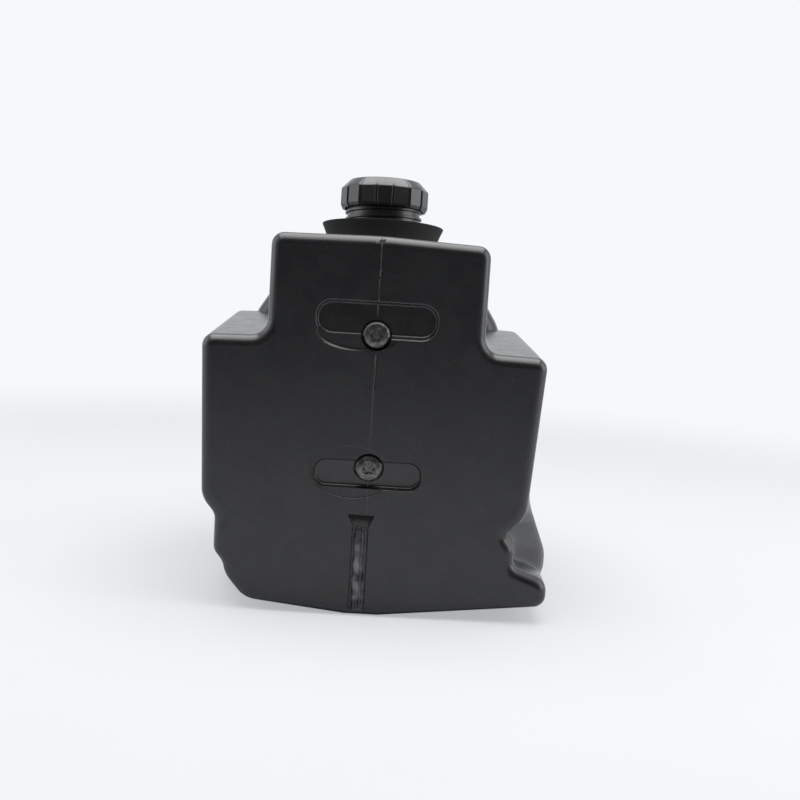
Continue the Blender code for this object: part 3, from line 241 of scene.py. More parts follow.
class Form:
    """A mesh in the making."""

    def __init__(self) -> None:
        """Starts with nothing."""
        self.bm = bmesh.new()

    @classmethod
    def lofted(cls, rings: Sequence[Sequence[Point]]) -> "Form":
        """A closed body through rings.

        Args:
            rings: loops of as many points each.

        Returns:
            The body, with a flat face at each end.
        """
        form = cls()
        count = len(rings[0])
        grid = bmesh.ops.create_grid(form.bm, x_segments=count, y_segments=len(rings) - 1, size=1.0)
        places = [place for ring in rings for place in (*ring, ring[0])]
        for vert, place in zip(grid["verts"], places):
            vert.co = place
        form.closed()
        ends = [edge for edge in form.bm.edges if edge.is_boundary]
        bmesh.ops.edgeloop_fill(form.bm, edges=ends)
        return form.closed()

    @classmethod
    def turned(cls, section: Sequence[Flat], sides: int = ROUND_SIDES) -> "Form":
        """A body turned about Z.

        Args:
            section: (radius, height) points, on the axis at both ends or closed by itself.
            sides: facets round it.

        Returns:
            The closed body.
        """
        form = cls()
        verts = [form.bm.verts.new((r, 0.0, z)) for r, z in section]
        pairs = list(zip(verts, verts[1:]))
        if section[0][0] > 0.0:
            pairs.append((verts[-1], verts[0]))
        edges = [form.bm.edges.new(pair) for pair in pairs]
        bmesh.ops.spin(
            form.bm,
            geom=verts + edges,
            cent=(0, 0, 0),
            axis=(0, 0, 1),
            angle=WHOLE_TURN,
            steps=sides,
            use_merge=True,
        )
        return form.closed()

    @classmethod
    def prism(cls, outline: Sequence[Flat], low: float, high: float) -> "Form":
        """An outline raised along Z from one height to another."""
        return cls.lofted([[(x, y, height) for x, y in outline] for height in (low, high)])

    @classmethod
    def taken(cls, piece: bpy.types.Object) -> "Form":
        """The mesh of a piece, which is used up."""
        form = cls()
        form.bm.from_mesh(piece.data)
        bpy.data.objects.remove(piece, do_unlink=True)
        return form

    def closed(self) -> "Form":
        """Merges doubled points and turns the faces outwards."""
        bmesh.ops.remove_doubles(self.bm, verts=self.bm.verts, dist=WELD)
        bmesh.ops.recalc_face_normals(self.bm, faces=self.bm.faces)
        return self

    def placed(self, matrix: Matrix) -> "Form":
        """Moves the mesh to its place."""
        bmesh.ops.transform(self.bm, matrix=matrix, verts=self.bm.verts)
        return self

    def joined(self, other: "Form") -> "Form":
        """Takes in another mesh, which is used up."""
        mesh = bpy.data.meshes.new("joined")
        other.bm.to_mesh(mesh)
        other.bm.free()
        self.bm.from_mesh(mesh)
        bpy.data.meshes.remove(mesh)
        return self

    def piece(self, name: str) -> bpy.types.Object:
        """Ends the making.

        Args:
            name: the object's name.

        Returns:
            An object at the origin, with its place in its mesh.
        """
        mesh = bpy.data.meshes.new(name)
        self.bm.to_mesh(mesh)
        self.bm.free()
        made = bpy.data.objects.new(name, mesh)
        bpy.context.scene.collection.objects.link(made)
        return made


def combine(target: bpy.types.Object, tool: Form, join: Join) -> None:
    """Joins a tool to a piece, or cuts it out; the tool is used up.

    Args:
        target: the piece.
        tool: the form that it meets.
        join: which of the two.
    """
    helper = tool.piece("tool")
    modifier = target.modifiers.new(join.name, "BOOLEAN")
    modifier.operation = join.value
    modifier.solver = "EXACT"
    modifier.object = helper
    bpy.context.view_layer.update()
    shaped = target.evaluated_get(bpy.context.evaluated_depsgraph_get())
    form = Form()
    form.bm.from_mesh(bpy.data.meshes.new_from_object(shaped))
    bmesh.ops.remove_doubles(form.bm, verts=form.bm.verts, dist=WELD)
    bmesh.ops.dissolve_degenerate(form.bm, edges=form.bm.edges, dist=WELD)
    target.modifiers.clear()
    form.bm.to_mesh(target.data)
    form.bm.free()
    bpy.data.objects.remove(helper, do_unlink=True)


class Shade:
    """A value socket that takes part in Python arithmetic; each step adds a Math node."""

    def __init__(self, nodes: "Nodes", socket: bpy.types.NodeSocket) -> None:
        """Wraps a socket of a node tree."""
        self.nodes = nodes
        self.socket = socket

    def _math(self, operation: str, first: "Value", second: "Value") -> "Shade":
        """Adds one Math node."""
        return self.nodes.node("ShaderNodeMath", {"operation": operation}, {0: first, 1: second})

    def __add__(self, other: "Value") -> "Shade":
        """Sum."""
        return self._math("ADD", self, other)

    __radd__ = __add__

    def __sub__(self, other: "Value") -> "Shade":
        """Difference."""
        return self._math("SUBTRACT", self, other)

    def __rsub__(self, other: "Value") -> "Shade":
        """Difference from a number."""
        return self._math("SUBTRACT", other, self)

    def __mul__(self, other: "Value") -> "Shade":
        """Product."""
        return self._math("MULTIPLY", self, other)

    __rmul__ = __mul__

    def greater(self, other: "Value") -> "Shade":
        """The larger of two values."""
        return self._math("MAXIMUM", self, other)

    def between(self, low: float, high: float) -> "Shade":
        """A soft step from 0 at low to 1 at high."""
        ends = {"Value": self, "From Min": low, "From Max": high}
        return self.nodes.node("ShaderNodeMapRange", {"interpolation_type": "SMOOTHSTEP"}, ends)


Value = Shade | float


class Nodes:
    """A node tree that is filled by Python expressions."""

    def __init__(self, tree: bpy.types.NodeTree) -> None:
        """Empties the tree."""
        self.tree = tree
        self.tree.nodes.clear()

    def node(self, kind: str, settings: dict, inputs: dict, output: int | str = 0) -> Shade:
        """Adds a node.

        Args:
            kind: the node's type.
            settings: its own properties, set first.
            inputs: values or links by socket name or number.
            output: the socket to give back.

        Returns:
            That output.
        """
        made = self.tree.nodes.new(kind)
        for name, value in settings.items():
            setattr(made, name, value)
        for key, value in inputs.items():
            if isinstance(value, Shade):
                self.tree.links.new(value.socket, made.inputs[key])
            else:
                made.inputs[key].default_value = value
        return Shade(self, made.outputs[output])

    def end(self, kind: str, shader: Shade) -> None:
        """Links a shader to the tree's output node."""
        output = self.tree.nodes.new(kind)
        self.tree.links.new(shader.socket, output.inputs["Surface"])

    def coordinates(self, kind: str) -> Shade:
        """Texture coordinates of one kind."""
        return self.node("ShaderNodeTexCoord", {}, {}, kind)

    def ray(self, kind: str) -> Shade:
        """1 for rays of one kind, 0 for the others."""
        return self.node("ShaderNodeLightPath", {}, {}, f"Is {kind} Ray")

    def noise(self, size: float, detail: float) -> Shade:
        """Soft random spots.

        Args:
            size: how large the spots are.
            detail: how many finer layers they have.

        Returns:
            Values round 0.5.
        """
        inputs = {"Vector": self.coordinates("Object"), "Scale": 1.0 / size, "Detail": detail}
        return self.node("ShaderNodeTexNoise", {}, inputs)

    def mixed(self, factor: Value, first: Colour, second: Colour) -> Shade:
        """A colour between two; 6, 7 and 2 are the Mix node's colour sockets."""
        inputs = {0: factor, 6: (*first, 1.0), 7: (*second, 1.0)}
        return self.node("ShaderNodeMix", {"data_type": "RGBA"}, inputs, 2)

    def bump(self, height: Value) -> Shade:
        """A normal from heights in metres."""
        return self.node("ShaderNodeBump", {}, {"Height": height, "Distance": 1.0, "Strength": 1.0})


@dataclass(frozen=True)
class Finish:
    """A surface with spots of a second colour, uneven gloss and a fine grain."""

    name: str
    slot: str
    colour: Colour
    second: Colour
    roughness: Flat
    metallic: float = 0.0
    specular: float = 0.5
    spot: float = 25 * MM
    grain: float = 0.9 * MM
    grain_depth: float = 0.02 * MM

    GRAIN_DETAIL = 3.0
    SPOT_DETAIL = 5.0
    SPOT_ENDS = (0.35, 0.7)
    GLOSS_DETAIL = 4.0
    GLOSS_ENDS = (0.2, 0.8)
    GLOSS_SHARE = 3

    def height(self, nodes: Nodes) -> Shade:
        """The surface's relief in metres."""
        return nodes.noise(self.grain, self.GRAIN_DETAIL) * self.grain_depth

    def spots(self, nodes: Nodes) -> Shade:
        """Where the second colour shows."""
        return nodes.noise(self.spot, self.SPOT_DETAIL).between(*self.SPOT_ENDS)

    def gloss(self, nodes: Nodes) -> Shade:
        """Roughness over the surface."""
        low, high = self.roughness
        patches = nodes.noise(self.spot / self.GLOSS_SHARE, self.GLOSS_DETAIL)
        return low + (high - low) * patches.between(*self.GLOSS_ENDS)

    def constants(self) -> dict[str, float]:
        """What is the same all over the surface."""
        return {"Metallic": self.metallic, "Specular IOR Level": self.specular}

    def material(self) -> bpy.types.Material:
        """Makes the finish once.

        Returns:
            The material, shared by every piece that has it.
        """
        made = bpy.data.materials.get(self.name)
        if made is not None:
            return made
        made = bpy.data.materials.new(self.name)
        made.use_nodes = True
        nodes = Nodes(made.node_tree)
        inputs = {
            "Base Color": nodes.mixed(self.spots(nodes), self.colour, self.second),
            "Roughness": self.gloss(nodes),
            "Normal": nodes.bump(self.height(nodes)),
            **self.constants(),
        }
        nodes.end("ShaderNodeOutputMaterial", nodes.node("ShaderNodeBsdfPrincipled", {}, inputs))
        return made


@dataclass(frozen=True)
class MouldedFinish(Finish):
    """A blow-moulded surface: slow waves where the plastic cooled, under a fine grain."""

    wave: float = 55 * MM
    wave_depth: float = 0.12 * MM

    WAVE_DETAIL = 1.0

    def height(self, nodes: Nodes) -> Shade:
        """Waves with the grain on them."""
        return super().height(nodes) + nodes.noise(self.wave, self.WAVE_DETAIL) * self.wave_depth


@dataclass(frozen=True)
class ClearFinish(Finish):
    """A clear plastic."""

    index: float = 1.49

    def constants(self) -> dict[str, float]:
        """Lets light through."""
        return {**super().constants(), "Transmission Weight": 1.0, "IOR": self.index}


TANK_PLASTIC = MouldedFinish(
    "tank plastic",
    "tank_plastic",
    (0.0075, 0.0077, 0.0085),
    (0.0095, 0.0098, 0.0106),
    (0.24, 0.32),
    specular=0.62,
    spot=45 * MM,
    grain_depth=0.005 * MM,
)
# The flash's light grey second colour is partly real stress-whitening and partly painted highlights, lighter than
# its own shine would make it.
WHITENED_FLASH_WITH_PAINTED_HIGHLIGHTS = Finish(
    "pinched plastic with painted highlights",
    "tank_plastic",
    (0.02, 0.0205, 0.022),
    (0.17, 0.17, 0.175),
    (0.22, 0.4),
    spot=11 * MM,
)
CAP_PLASTIC = Finish(
    "cap plastic",
    "cap_plastic",
    (0.009, 0.0092, 0.01),
    (0.013, 0.0133, 0.0145),
    (0.2, 0.27),
    specular=0.6,
    spot=15 * MM,
    grain_depth=0.006 * MM,
)
RUBBER = Finish(
    "rubber",
    "rubber",
    (0.009, 0.009, 0.0095),
    (0.016, 0.016, 0.0165),
    (0.55, 0.7),
    specular=0.4,
    grain_depth=0.04 * MM,
)
BLACK_STEEL = Finish(
    "black steel",
    "black_steel",
    (0.08, 0.08, 0.084),
    (0.17, 0.168, 0.165),
    (0.22, 0.38),
    metallic=0.85,
    spot=4 * MM,
)
BRASS = Finish(
    "brass", "brass", (0.62, 0.43, 0.17), (0.46, 0.3, 0.11), (0.25, 0.42), metallic=1.0, spot=6 * MM
)
ZINC = Finish(
    "zinc plate", "zinc_steel", (0.56, 0.57, 0.58), (0.44, 0.45, 0.45), (0.26, 0.4), metallic=1.0, spot=8 * MM
)
NYLON = Finish("nylon", "nylon", (0.7, 0.69, 0.64), (0.6, 0.585, 0.53), (0.4, 0.55))
FOAM = Finish(
    "foam", "foam", (0.13, 0.13, 0.14), (0.05, 0.05, 0.055), (0.85, 1.0), spot=1.5 * MM, grain_depth=0.3 * MM
)
LENS = ClearFinish(
    "clear plastic", "lens", (0.82, 0.86, 0.83), (0.74, 0.8, 0.74), (0.03, 0.08), grain_depth=0.002 * MM
)

FINISHES = (TANK_PLASTIC, CAP_PLASTIC, RUBBER, BLACK_STEEL, BRASS, ZINC, NYLON, FOAM, LENS)


def dress(piece: bpy.types.Object, finish: Finish, body: Body, *nodes: str) -> None:
    """Gives a piece its finish, its shading and its place in the frame.

    Args:
        piece: the finished mesh.
        finish: what it is made of.
        body: what it moves with.
        nodes: the part's solids that it stands for.
    """
    piece.data.materials.clear()
    piece.data.materials.append(finish.material())
    piece.data.shade_smooth()
    piece.data.set_sharp_from_angle(angle=SMOOTH_ANGLE)
    weighted = piece.modifiers.new("Even normals", "WEIGHTED_NORMAL")
    weighted.keep_sharp = True
    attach(piece, body.value)
    if nodes:
        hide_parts(*nodes)
    LOG.info("%s: %d faces", piece.name, len(piece.data.polygons))


def show(form: Form, finish: Finish, body: Body, node: str) -> None:
    """Dresses a finished form in the place of one of the part's solids."""
    dress(form.piece(f"{node}_look"), finish, body, node)


@dataclass(frozen=True)
class Thread:
    """A coarse moulded screw thread."""

    pitch: float = 6 * MM
    root_width: float = 3.2 * MM
    crest_width: float = 1.6 * MM
    bury: float = 0.8 * MM
    runout: int = 8

    def ridge(self, root: float, crest: float, low: float, turns: float) -> Form:
        """Its ridge, which runs out at both ends.

        Args:
            root: radius of the wall it stands on.
            crest: radius of its top.
            low: height of its start.
            turns: how often it goes round.

        Returns:
            The ridge, sunk a little into its wall.
        """
        steps = round(turns * SMALL_SIDES)
        outward = 1 if crest > root else -1
        buried = root - outward * self.bury
        least = root - outward * self.bury / 2
        rings = []
        for k in range(steps + 1):
            angle = WHOLE_TURN * turns * k / steps
            height = low + self.pitch * turns * k / steps
            top = least + (crest - least) * min(1.0, k / self.runout, (steps - k) / self.runout)
            section = (
                (buried, -self.root_width / 2),
                (top, -self.crest_width / 2),
                (top, self.crest_width / 2),
                (buried, self.root_width / 2),
            )
            rings.append([(r * math.cos(angle), r * math.sin(angle), height + rise) for r, rise in section])
        return Form.lofted(rings)


@dataclass(frozen=True)
class Recess:
    """A shallow hollow in the bolted face, with a rounded rim and foot.

    Its floor may lean, its lower wall may slope in by draw, and its foot may spread wider than it is deep.
    """

    x: float
    z: float
    depth: float
    rim: float = 1.2 * MM
    foot: float = 1.2 * MM
    lean_x: float = 0.0
    lean_z: float = 0.0
    draw: float = 0.0
    spread: float = 1.0
    lift: float = 0.05 * MM
    steps: int = 5

    def outline(self, grow: float) -> list[Flat]:
        """The hollow's outline about its middle, made larger by grow."""
        raise NotImplementedError

    def levels(self) -> list[Flat]:
        """How far the outline grows at each depth.

        Returns:
            (depth, growth) pairs from outside the face down to the floor.
        """
        found = [(-OVERRUN, self.rim)]
        for k in range(self.steps + 1):
            angle = QUARTER_TURN * k / self.steps
            found.append((self.rim * (1 - math.cos(angle)) - self.lift, self.rim * (1 - math.sin(angle))))
        for k in range(self.steps + 1):
            angle = QUARTER_TURN * k / self.steps
            down = self.depth - self.foot * (1 - math.sin(angle))
            found.append((down, -self.spread * self.foot * (1 - math.cos(angle))))
        return found

    def cutter(self, front: float) -> Form:
        """The body to cut out of the face.

        Args:
            front: the face's place along Y.

        Returns:
            The hollow's form, which stands out in front of the face.
        """
        rings = []
        for depth, grow in self.levels():
            share = max(depth, 0.0) / self.depth
            flat = self.outline(grow)
            top = max(z for _, z in flat)
            low = min(z for _, z in flat)
            ring = []
            for x, z in flat:
                lean = (self.lean_x * x + self.lean_z * z) * share
                slope = self.draw * share * (top - z) / (top - low)
                ring.append((self.x + x, front + depth + lean, self.z + z + slope))
            rings.append(ring)
        return Form.lofted(rings)


@dataclass(frozen=True)
class CornerRecess(Recess):
    """A recess with straight sides and rounded corners, given about its middle."""

    corners: tuple[Corner, ...] = ()

    def outline(self, grow: float) -> list[Flat]:
        """The corners moved outwards by grow."""
        return [(p.x, p.y) for p in Outline(self.corners).inset(-grow).points(2 * self.steps)]


@dataclass(frozen=True)
class OvalRecess(Recess):
    """An elliptical recess."""

    width: float = 0.0
    span: float = 0.0
    sides: int = 64

    def outline(self, grow: float) -> list[Flat]:
        """The ellipse with both half axes longer by grow."""
        angles = [WHOLE_TURN * k / self.sides for k in range(self.sides)]
        wide = self.width / 2 + grow
        tall = self.span / 2 + grow
        return [(wide * math.cos(a), tall * math.sin(a)) for a in angles]


def slab(width: float, span: float, reach: float) -> tuple[Corner, ...]:
    """A rectangle's corners about its middle."""
    x, z = width / 2, span / 2
    return (Corner(x, -z, reach), Corner(x, z, reach), Corner(-x, z, reach), Corner(-x, -z, reach))


@dataclass(frozen=True)
class Pocket:
    """A bolted pocket: the height of its screw, its floor and the wider dish round it."""

    screw_height: float
    floor: Recess
    dish: Recess

    def matrix(self) -> Matrix:
        """Puts Z along the pocket's screw, out of the face."""
        place = Matrix.Translation((0.0, FRONT_Y, self.screw_height))
        return place @ Matrix.Rotation(QUARTER_TURN, 4, "X")


FRONT_Y = -125 * MM
UPPER_POCKET = Pocket(
    screw_height=231 * MM,
    floor=CornerRecess(
        x=0.0,
        z=243 * MM,
        depth=6 * MM,
        rim=2.2 * MM,
        foot=2 * MM,
        lean_z=0.02,
        draw=2 * MM,
        corners=slab(96 * MM, 28 * MM, 13 * MM),
    ),
    dish=OvalRecess(
        x=-14 * MM,
        z=233 * MM,
        depth=1.25 * MM,
        rim=0.6 * MM,
        foot=0.5 * MM,
        lean_x=-0.034,
        draw=2 * MM,
        spread=3,
        width=68 * MM,
        span=31 * MM,
    ),
)
LOWER_POCKET = Pocket(
    screw_height=123 * MM,
    floor=CornerRecess(
        x=-1 * MM,
        z=118 * MM,
        depth=6 * MM,
        rim=1 * MM,
        foot=3 * MM,
        lean_z=-0.1,
        corners=slab(87 * MM, 23 * MM, 10 * MM),
    ),
    dish=OvalRecess(
        x=-14 * MM,
        z=119.5 * MM,
        depth=1.2 * MM,
        rim=0.4 * MM,
        foot=0.5 * MM,
        lean_x=-0.034,
        spread=2,
        width=66 * MM,
        span=43 * MM,
    ),
)
POCKETS = (UPPER_POCKET, LOWER_POCKET)
PINCH_GROOVE = CornerRecess(
    x=-4 * MM,
    z=33 * MM,
    depth=2.6 * MM,
    rim=0.7 * MM,
    foot=0.6 * MM,
    corners=slab(13 * MM, 92 * MM, 1 * MM),
)
PINCH_DIMPLE = CornerRecess(
    x=-3.8 * MM,
    z=79 * MM,
    depth=3 * MM,
    rim=0.4 * MM,
    foot=1.2 * MM,
    lean_z=0.25,
    corners=(
        Corner(5.5 * MM, -6 * MM, 1 * MM),
        Corner(11 * MM, 5.5 * MM, 1.5 * MM),
        Corner(-11 * MM, 6 * MM, 1.5 * MM),
        Corner(-5.5 * MM, -6 * MM, 1 * MM),
    ),
)
PARTING_SLIT = CornerRecess(
    x=0.8 * MM,
    z=201 * MM,
    depth=1.2 * MM,
    rim=0.25 * MM,
    foot=0.1 * MM,
    corners=(
        Corner(0.3 * MM, -14 * MM, 0.2 * MM),
        Corner(0.9 * MM, 14 * MM, 0.5 * MM),
        Corner(-0.7 * MM, 14 * MM, 0.5 * MM),
        Corner(-0.1 * MM, -14 * MM, 0.2 * MM),
    ),
)
MOULD_DENT = OvalRecess(
    x=0.0,
    z=277 * MM,
    depth=0.8 * MM,
    rim=0.4 * MM,
    foot=0.3 * MM,
    width=3.5 * MM,
    span=2.5 * MM,
    sides=24,
)


@dataclass(frozen=True)
class Port:
    """One of the threaded ports on the back."""

    name: str
    x: float
    z: float
    thread: float
    y: float = 169 * MM
    insert_wall: float = 4 * MM
    insert_length: float = 22 * MM
    groove: float = 1 * MM
    seal: float = 2.4 * MM
    seal_width: float = 3 * MM
    soft: float = 0.4 * MM

    def matrix(self) -> Matrix:
        """Puts Z along the port's outward axis."""
        return Matrix.Translation((self.x, self.y, self.z)) @ Matrix.Rotation(-QUARTER_TURN, 4, "X")

    def insert_radius(self) -> float:
        """Outer radius of the moulded-in insert."""
        return self.thread + CLEARANCE + self.insert_wall

    def seat(self) -> float:
        """Height of what screws down on the seal."""
        return self.seal + 2 * CLEARANCE

    def build(self) -> None:
        """Makes the insert and the seal."""
        bore = self.thread + CLEARANCE
        outer = self.insert_radius()
        third = self.insert_length / 3
        sleeve = profile(
            Corner(bore, -self.soft),
            Corner(bore, 0.0, self.soft / 2),
            Corner(outer, 0.0, self.soft),
            Corner(outer, -third),
            Corner(outer - self.groove, -third),
            Corner(outer - self.groove, -2 * third),
            Corner(outer, -2 * third),
            Corner(outer, -self.insert_length),
            Corner(bore, -self.insert_length),
            steps=3,
        )
        insert = Form.turned(sleeve, SMALL_SIDES).placed(self.matrix())
        show(insert, BRASS, Body.TANK, f"{self.name}_insert")
        low, high = CLEARANCE, CLEARANCE + self.seal
        middle = (low + high) / 2
        rim = bore + self.seal_width
        bend = self.seal / 3
        ring = profile(
            Corner(bore, middle),
            Corner(bore, high, bend),
            Corner(rim, high, bend),
            Corner(rim, low, bend),
            Corner(bore, low, bend),
            Corner(bore, middle - CLEARANCE),
            steps=4,
        )
        seal = Form.turned(ring, SMALL_SIDES).placed(self.matrix())
        show(seal, RUBBER, Body.TANK, f"{self.name}_seal")


@dataclass
class Tank:
    """The hollow moulding with its neck, pockets and port pads."""

    neck: Matrix
    ports: tuple[Port, ...]
    depth: float = 250 * MM
    wall: float = 5 * MM
    face_fillet: float = 9 * MM
    edge: float = 10 * MM
    shoulder_half_width: float = 139.5 * MM
    shoulder_height: float = 221.5 * MM
    shoulder_fall: float = 1.5 * MM
    shoulder_fillet: float = 13 * MM
    left_shoulder_rise: float = 4.5 * MM
    block_half_width: float = 87.5 * MM
    roof_height: float = 310 * MM
    roof_crown: float = 3.5 * MM
    left_roof_rise: float = 2 * MM
    roof_pitch: float = math.radians(8.5)
    waist_height: float = 88 * MM
    waist_round: float = 12 * MM
    waist_reach: float = 131 * MM
    left_waist_reach: float = 134.5 * MM
    left_waist_rise: float = 3 * MM
    notch_height: float = 73.5 * MM
    notch_depth: float = 8 * MM
    notch_draw: float = 5 * MM
    left_notch_rise: float = 4 * MM
    lobe_reach: float = 123 * MM
    lobe_top: float = 63 * MM
    lobe_foot: float = 47.5 * MM
    lobe_round: float = 5 * MM
    foot_reach: float = 151.5 * MM
    foot_rise: float = 15.3 * MM
    foot_top: float = 37 * MM
    foot_round: float = 9 * MM
    ledge_reach: float = 115.5 * MM
    ledge_height: float = 39 * MM
    chine_reach: float = 112.5 * MM
    chine_height: float = 27.5 * MM
    heel_reach: float = 96.5 * MM
    heel_rise: float = 8.5 * MM
    scoop_reach: float = 89 * MM
    scoop_height: float = 25 * MM
    scoop_foot_reach: float = 72 * MM
    scoop_foot_height: float = 13.8 * MM
    keel_half_width: float = 14 * MM
    keel_round: float = 0.5 * MM
    front_length: float = 30 * MM
    ramp_length: float = 45 * MM
    ramp_ease: float = 0.4
    flank_reach: float = 156.5 * MM
    flank_top: float = 45.5 * MM
    flank_foot: float = 31.5 * MM
    hull_waist_reach: float = 140 * MM
    left_hull_reach: float = 129.5 * MM
    bilge_reach: float = 115 * MM
    rear_depth: float = 40 * MM
    rear_overlap: float = 20 * MM
    rear_fillet: float = 18 * MM
    rear_keel_rise: float = 6 * MM
    rear_bilge_reach: float = 100 * MM
    rear_bilge_rise: float = 15 * MM
    rear_reach: float = 119 * MM
    rear_side_foot: float = 36 * MM
    rear_side_top: float = 220.5 * MM
    rear_top_reach: float = 90 * MM
    rear_top: float = 266.5 * MM
    neck_radius: float = 31 * MM
    neck_wall: float = 4 * MM
    neck_height: float = 50 * MM
    neck_pad_radius: float = 47.5 * MM
    neck_pad_height: float = 1 * MM
    thread_height: float = 1.8 * MM
    thread_low: float = 22 * MM
    thread_turns: float = 4
    soft: float = 0.8 * MM
    seat_radius: float = 11.7 * MM
    seat_depth: float = 8 * MM
    seat_soft: float = 0.6 * MM
    screw_insert_radius: float = 10.3 * MM
    screw_insert_length: float = 22 * MM
    pad_margin: float = 7 * MM
    pad_height: float = 4 * MM
    pad_flare: float = 2.5 * MM
    pad_fall: float = 0.2 * MM
    corner_steps: int = 7
    fillet_steps: int = 7
    ramp_steps: int = 8

    def ring(self, outline: Outline, depth: float) -> list[Point]:
        """An outline's points at a depth."""
        return outline.ring(FRONT_Y + depth, self.corner_steps)

    def section(self, right: list[Corner], left: list[Corner], depth: float) -> Outline:
        """A whole section from its two lower sides.

        Args:
            right: corners from the keel up to the right shoulder.
            left: corners from the left shoulder down to the keel.
            depth: where the section lies, which sets the roof's height.

        Returns:
            The section.
        """
        roof = self.roof_height - depth * math.tan(self.roof_pitch)
        rim = self.shoulder_height - self.shoulder_fall
        block = self.block_half_width
        upper = [
            Corner(self.shoulder_half_width, rim, self.edge),
            Corner(block, self.shoulder_height, self.shoulder_fillet),
            Corner(block, roof - self.roof_crown, self.edge),
            Corner(0.0, roof, self.edge),
            Corner(-block, roof - self.roof_crown + self.left_roof_rise, self.edge),
            Corner(-block, self.shoulder_height + self.left_shoulder_rise, self.shoulder_fillet),
            Corner(-self.shoulder_half_width, rim + self.left_shoulder_rise, self.edge),
        ]
        return Outline(right + upper + left)

    def front_section(self, depth: float) -> Outline:
        """The front part: a notch, a lobe and a foot on the right, a lobe and a heel on the left."""
        soft = self.lobe_round
        right = [
            Corner(self.keel_half_width, 0.0, self.keel_round),
            Corner(self.foot_reach, self.foot_rise, self.foot_round),
            Corner(self.foot_reach, self.foot_top, self.foot_round),
            Corner(self.lobe_reach, self.lobe_foot, soft),
            Corner(self.lobe_reach, self.lobe_top, soft),
            Corner(self.lobe_reach - self.notch_depth, self.notch_height, soft),
            Corner(self.waist_reach, self.waist_height, self.waist_round),
        ]
        left = [
            Corner(-self.left_waist_reach, self.waist_height + self.left_waist_rise, self.waist_round),
            Corner(-self.lobe_reach, self.notch_height + self.left_notch_rise, soft),
            Corner(-self.lobe_reach, self.lobe_top, soft),
            Corner(-self.lobe_reach, self.lobe_foot, soft),
            Corner(-self.ledge_reach, self.ledge_height, soft),
            Corner(-self.chine_reach, self.chine_height, self.foot_round),
            Corner(-self.heel_reach, self.heel_rise, self.foot_round),
            Corner(-self.keel_half_width, 0.0, self.keel_round),
        ]
        return self.section(right, left, depth)

    def face_section(self) -> Outline:
        """The flat face: the front section less its fillet, with a notch and a scoop drawn into its left."""
        corners = self.front_section(0.0).inset(self.face_fillet).corners
        *others, waist, notch, lobe_top, lobe_foot, _ledge, _chine, _heel, keel = corners
        scoop = Corner(-self.scoop_reach, self.scoop_height, self.keel_round)
        middle = lobe_foot.place().lerp(scoop.place(), 0.5)
        left = [
            waist,
            replace(notch, x=notch.x + self.notch_draw),
            lobe_top,
            lobe_foot,
            Corner(middle.x, middle.y, self.keel_round),
            scoop,
            Corner(-self.scoop_foot_reach, self.scoop_foot_height, self.foot_round),
            keel,
        ]
        return Outline(others + left)

    def hull_section(self, depth: float) -> Outline:
        """The full section behind the ramp, whose right flank stands out."""
        soft = self.lobe_round
        foot = Vector((self.foot_reach, self.foot_rise))
        flank_foot = Vector((self.flank_reach, self.flank_foot))
        flank_top = Vector((self.flank_reach, self.flank_top))
        waist = Vector((self.hull_waist_reach, self.waist_height))
        side = -self.left_hull_reach
        right = [
            Corner(self.keel_half_width, 0.0, self.keel_round),
            Corner(*foot, self.foot_round),
            Corner(*foot.lerp(flank_foot, 0.5), soft),
            Corner(*flank_foot, soft),
            Corner(*flank_top, soft),
            Corner(*flank_top.lerp(waist, 0.5), soft),
            Corner(*waist, self.waist_round),
        ]
        left = [
            Corner(side, self.waist_height + self.left_waist_rise, self.waist_round),
            Corner(side, self.notch_height + self.left_notch_rise, soft),
            Corner(side, self.lobe_top, soft),
            Corner(side, self.lobe_foot, soft),
            Corner(side, self.ledge_height, soft),
            Corner((side - self.bilge_reach) / 2, (self.ledge_height + self.heel_rise) / 2, soft),
            Corner(-self.bilge_reach, self.heel_rise, self.foot_round),
            Corner(-self.keel_half_width, 0.0, self.keel_round),
        ]
        return self.section(right, left, depth)

    def rear_section(self) -> Outline:
        """The rear bulge, which leans in above the shoulders."""
        right = [
            Corner(self.keel_half_width, self.rear_keel_rise, self.keel_round),
            Corner(self.rear_bilge_reach, self.rear_bilge_rise, self.edge),
            Corner(self.rear_reach, self.rear_side_foot, self.edge),
            Corner(self.rear_reach, self.rear_side_top, self.edge),
            Corner(self.rear_top_reach, self.rear_top, self.edge),
        ]
        return Outline(right + [replace(c, x=-c.x) for c in reversed(right)])

    def fillet(self, end: Outline, body: Outline, start: float, stop: float) -> list[list[Point]]:
        """Rings that turn from a flat end into the section behind it.

        Args:
            end: the flat end.
            body: the section it turns into.
            start: depth of the flat end.
            stop: depth of that section.

        Returns:
            Rings along a quarter ellipse, from the end inwards.
        """
        rings = []
        for k in range(self.fillet_steps):
            angle = QUARTER_TURN * k / self.fillet_steps
            depth = start + (stop - start) * (1 - math.cos(angle))
            rings.append(self.ring(end.blended(body, math.sin(angle)), depth))
        return rings

    def ramp(self, wall: float) -> list[list[Point]]:
        """Rings from the front part to the full section.

        Args:
            wall: how far inside the outer surface they lie.

        Returns:
            Rings with softened ends.
        """
        rings = []
        for k in range(self.ramp_steps + 1):
            t = k / self.ramp_steps
            share = (1 - self.ramp_ease) * t + self.ramp_ease * t * t * (3 - 2 * t)
            depth = self.front_length + self.ramp_length * t
            near = self.front_section(depth).inset(wall)
            rings.append(self.ring(near.blended(self.hull_section(depth).inset(wall), share), depth))
        return rings

    def body(self) -> Form:
        """The outer form without its bulge, neck, pockets and pads."""
        fillet = self.face_fillet
        last = self.depth - fillet
        end = self.hull_section(self.depth)
        rings = self.fillet(self.face_section(), self.front_section(0.0), 0.0, fillet)
        rings.append(self.ring(self.front_section(fillet), fillet))
        rings += self.ramp(0.0)
        rings.append(self.ring(self.hull_section(last), last))
        rings += reversed(self.fillet(end.inset(fillet), end, self.depth, last))
        return Form.lofted(rings)

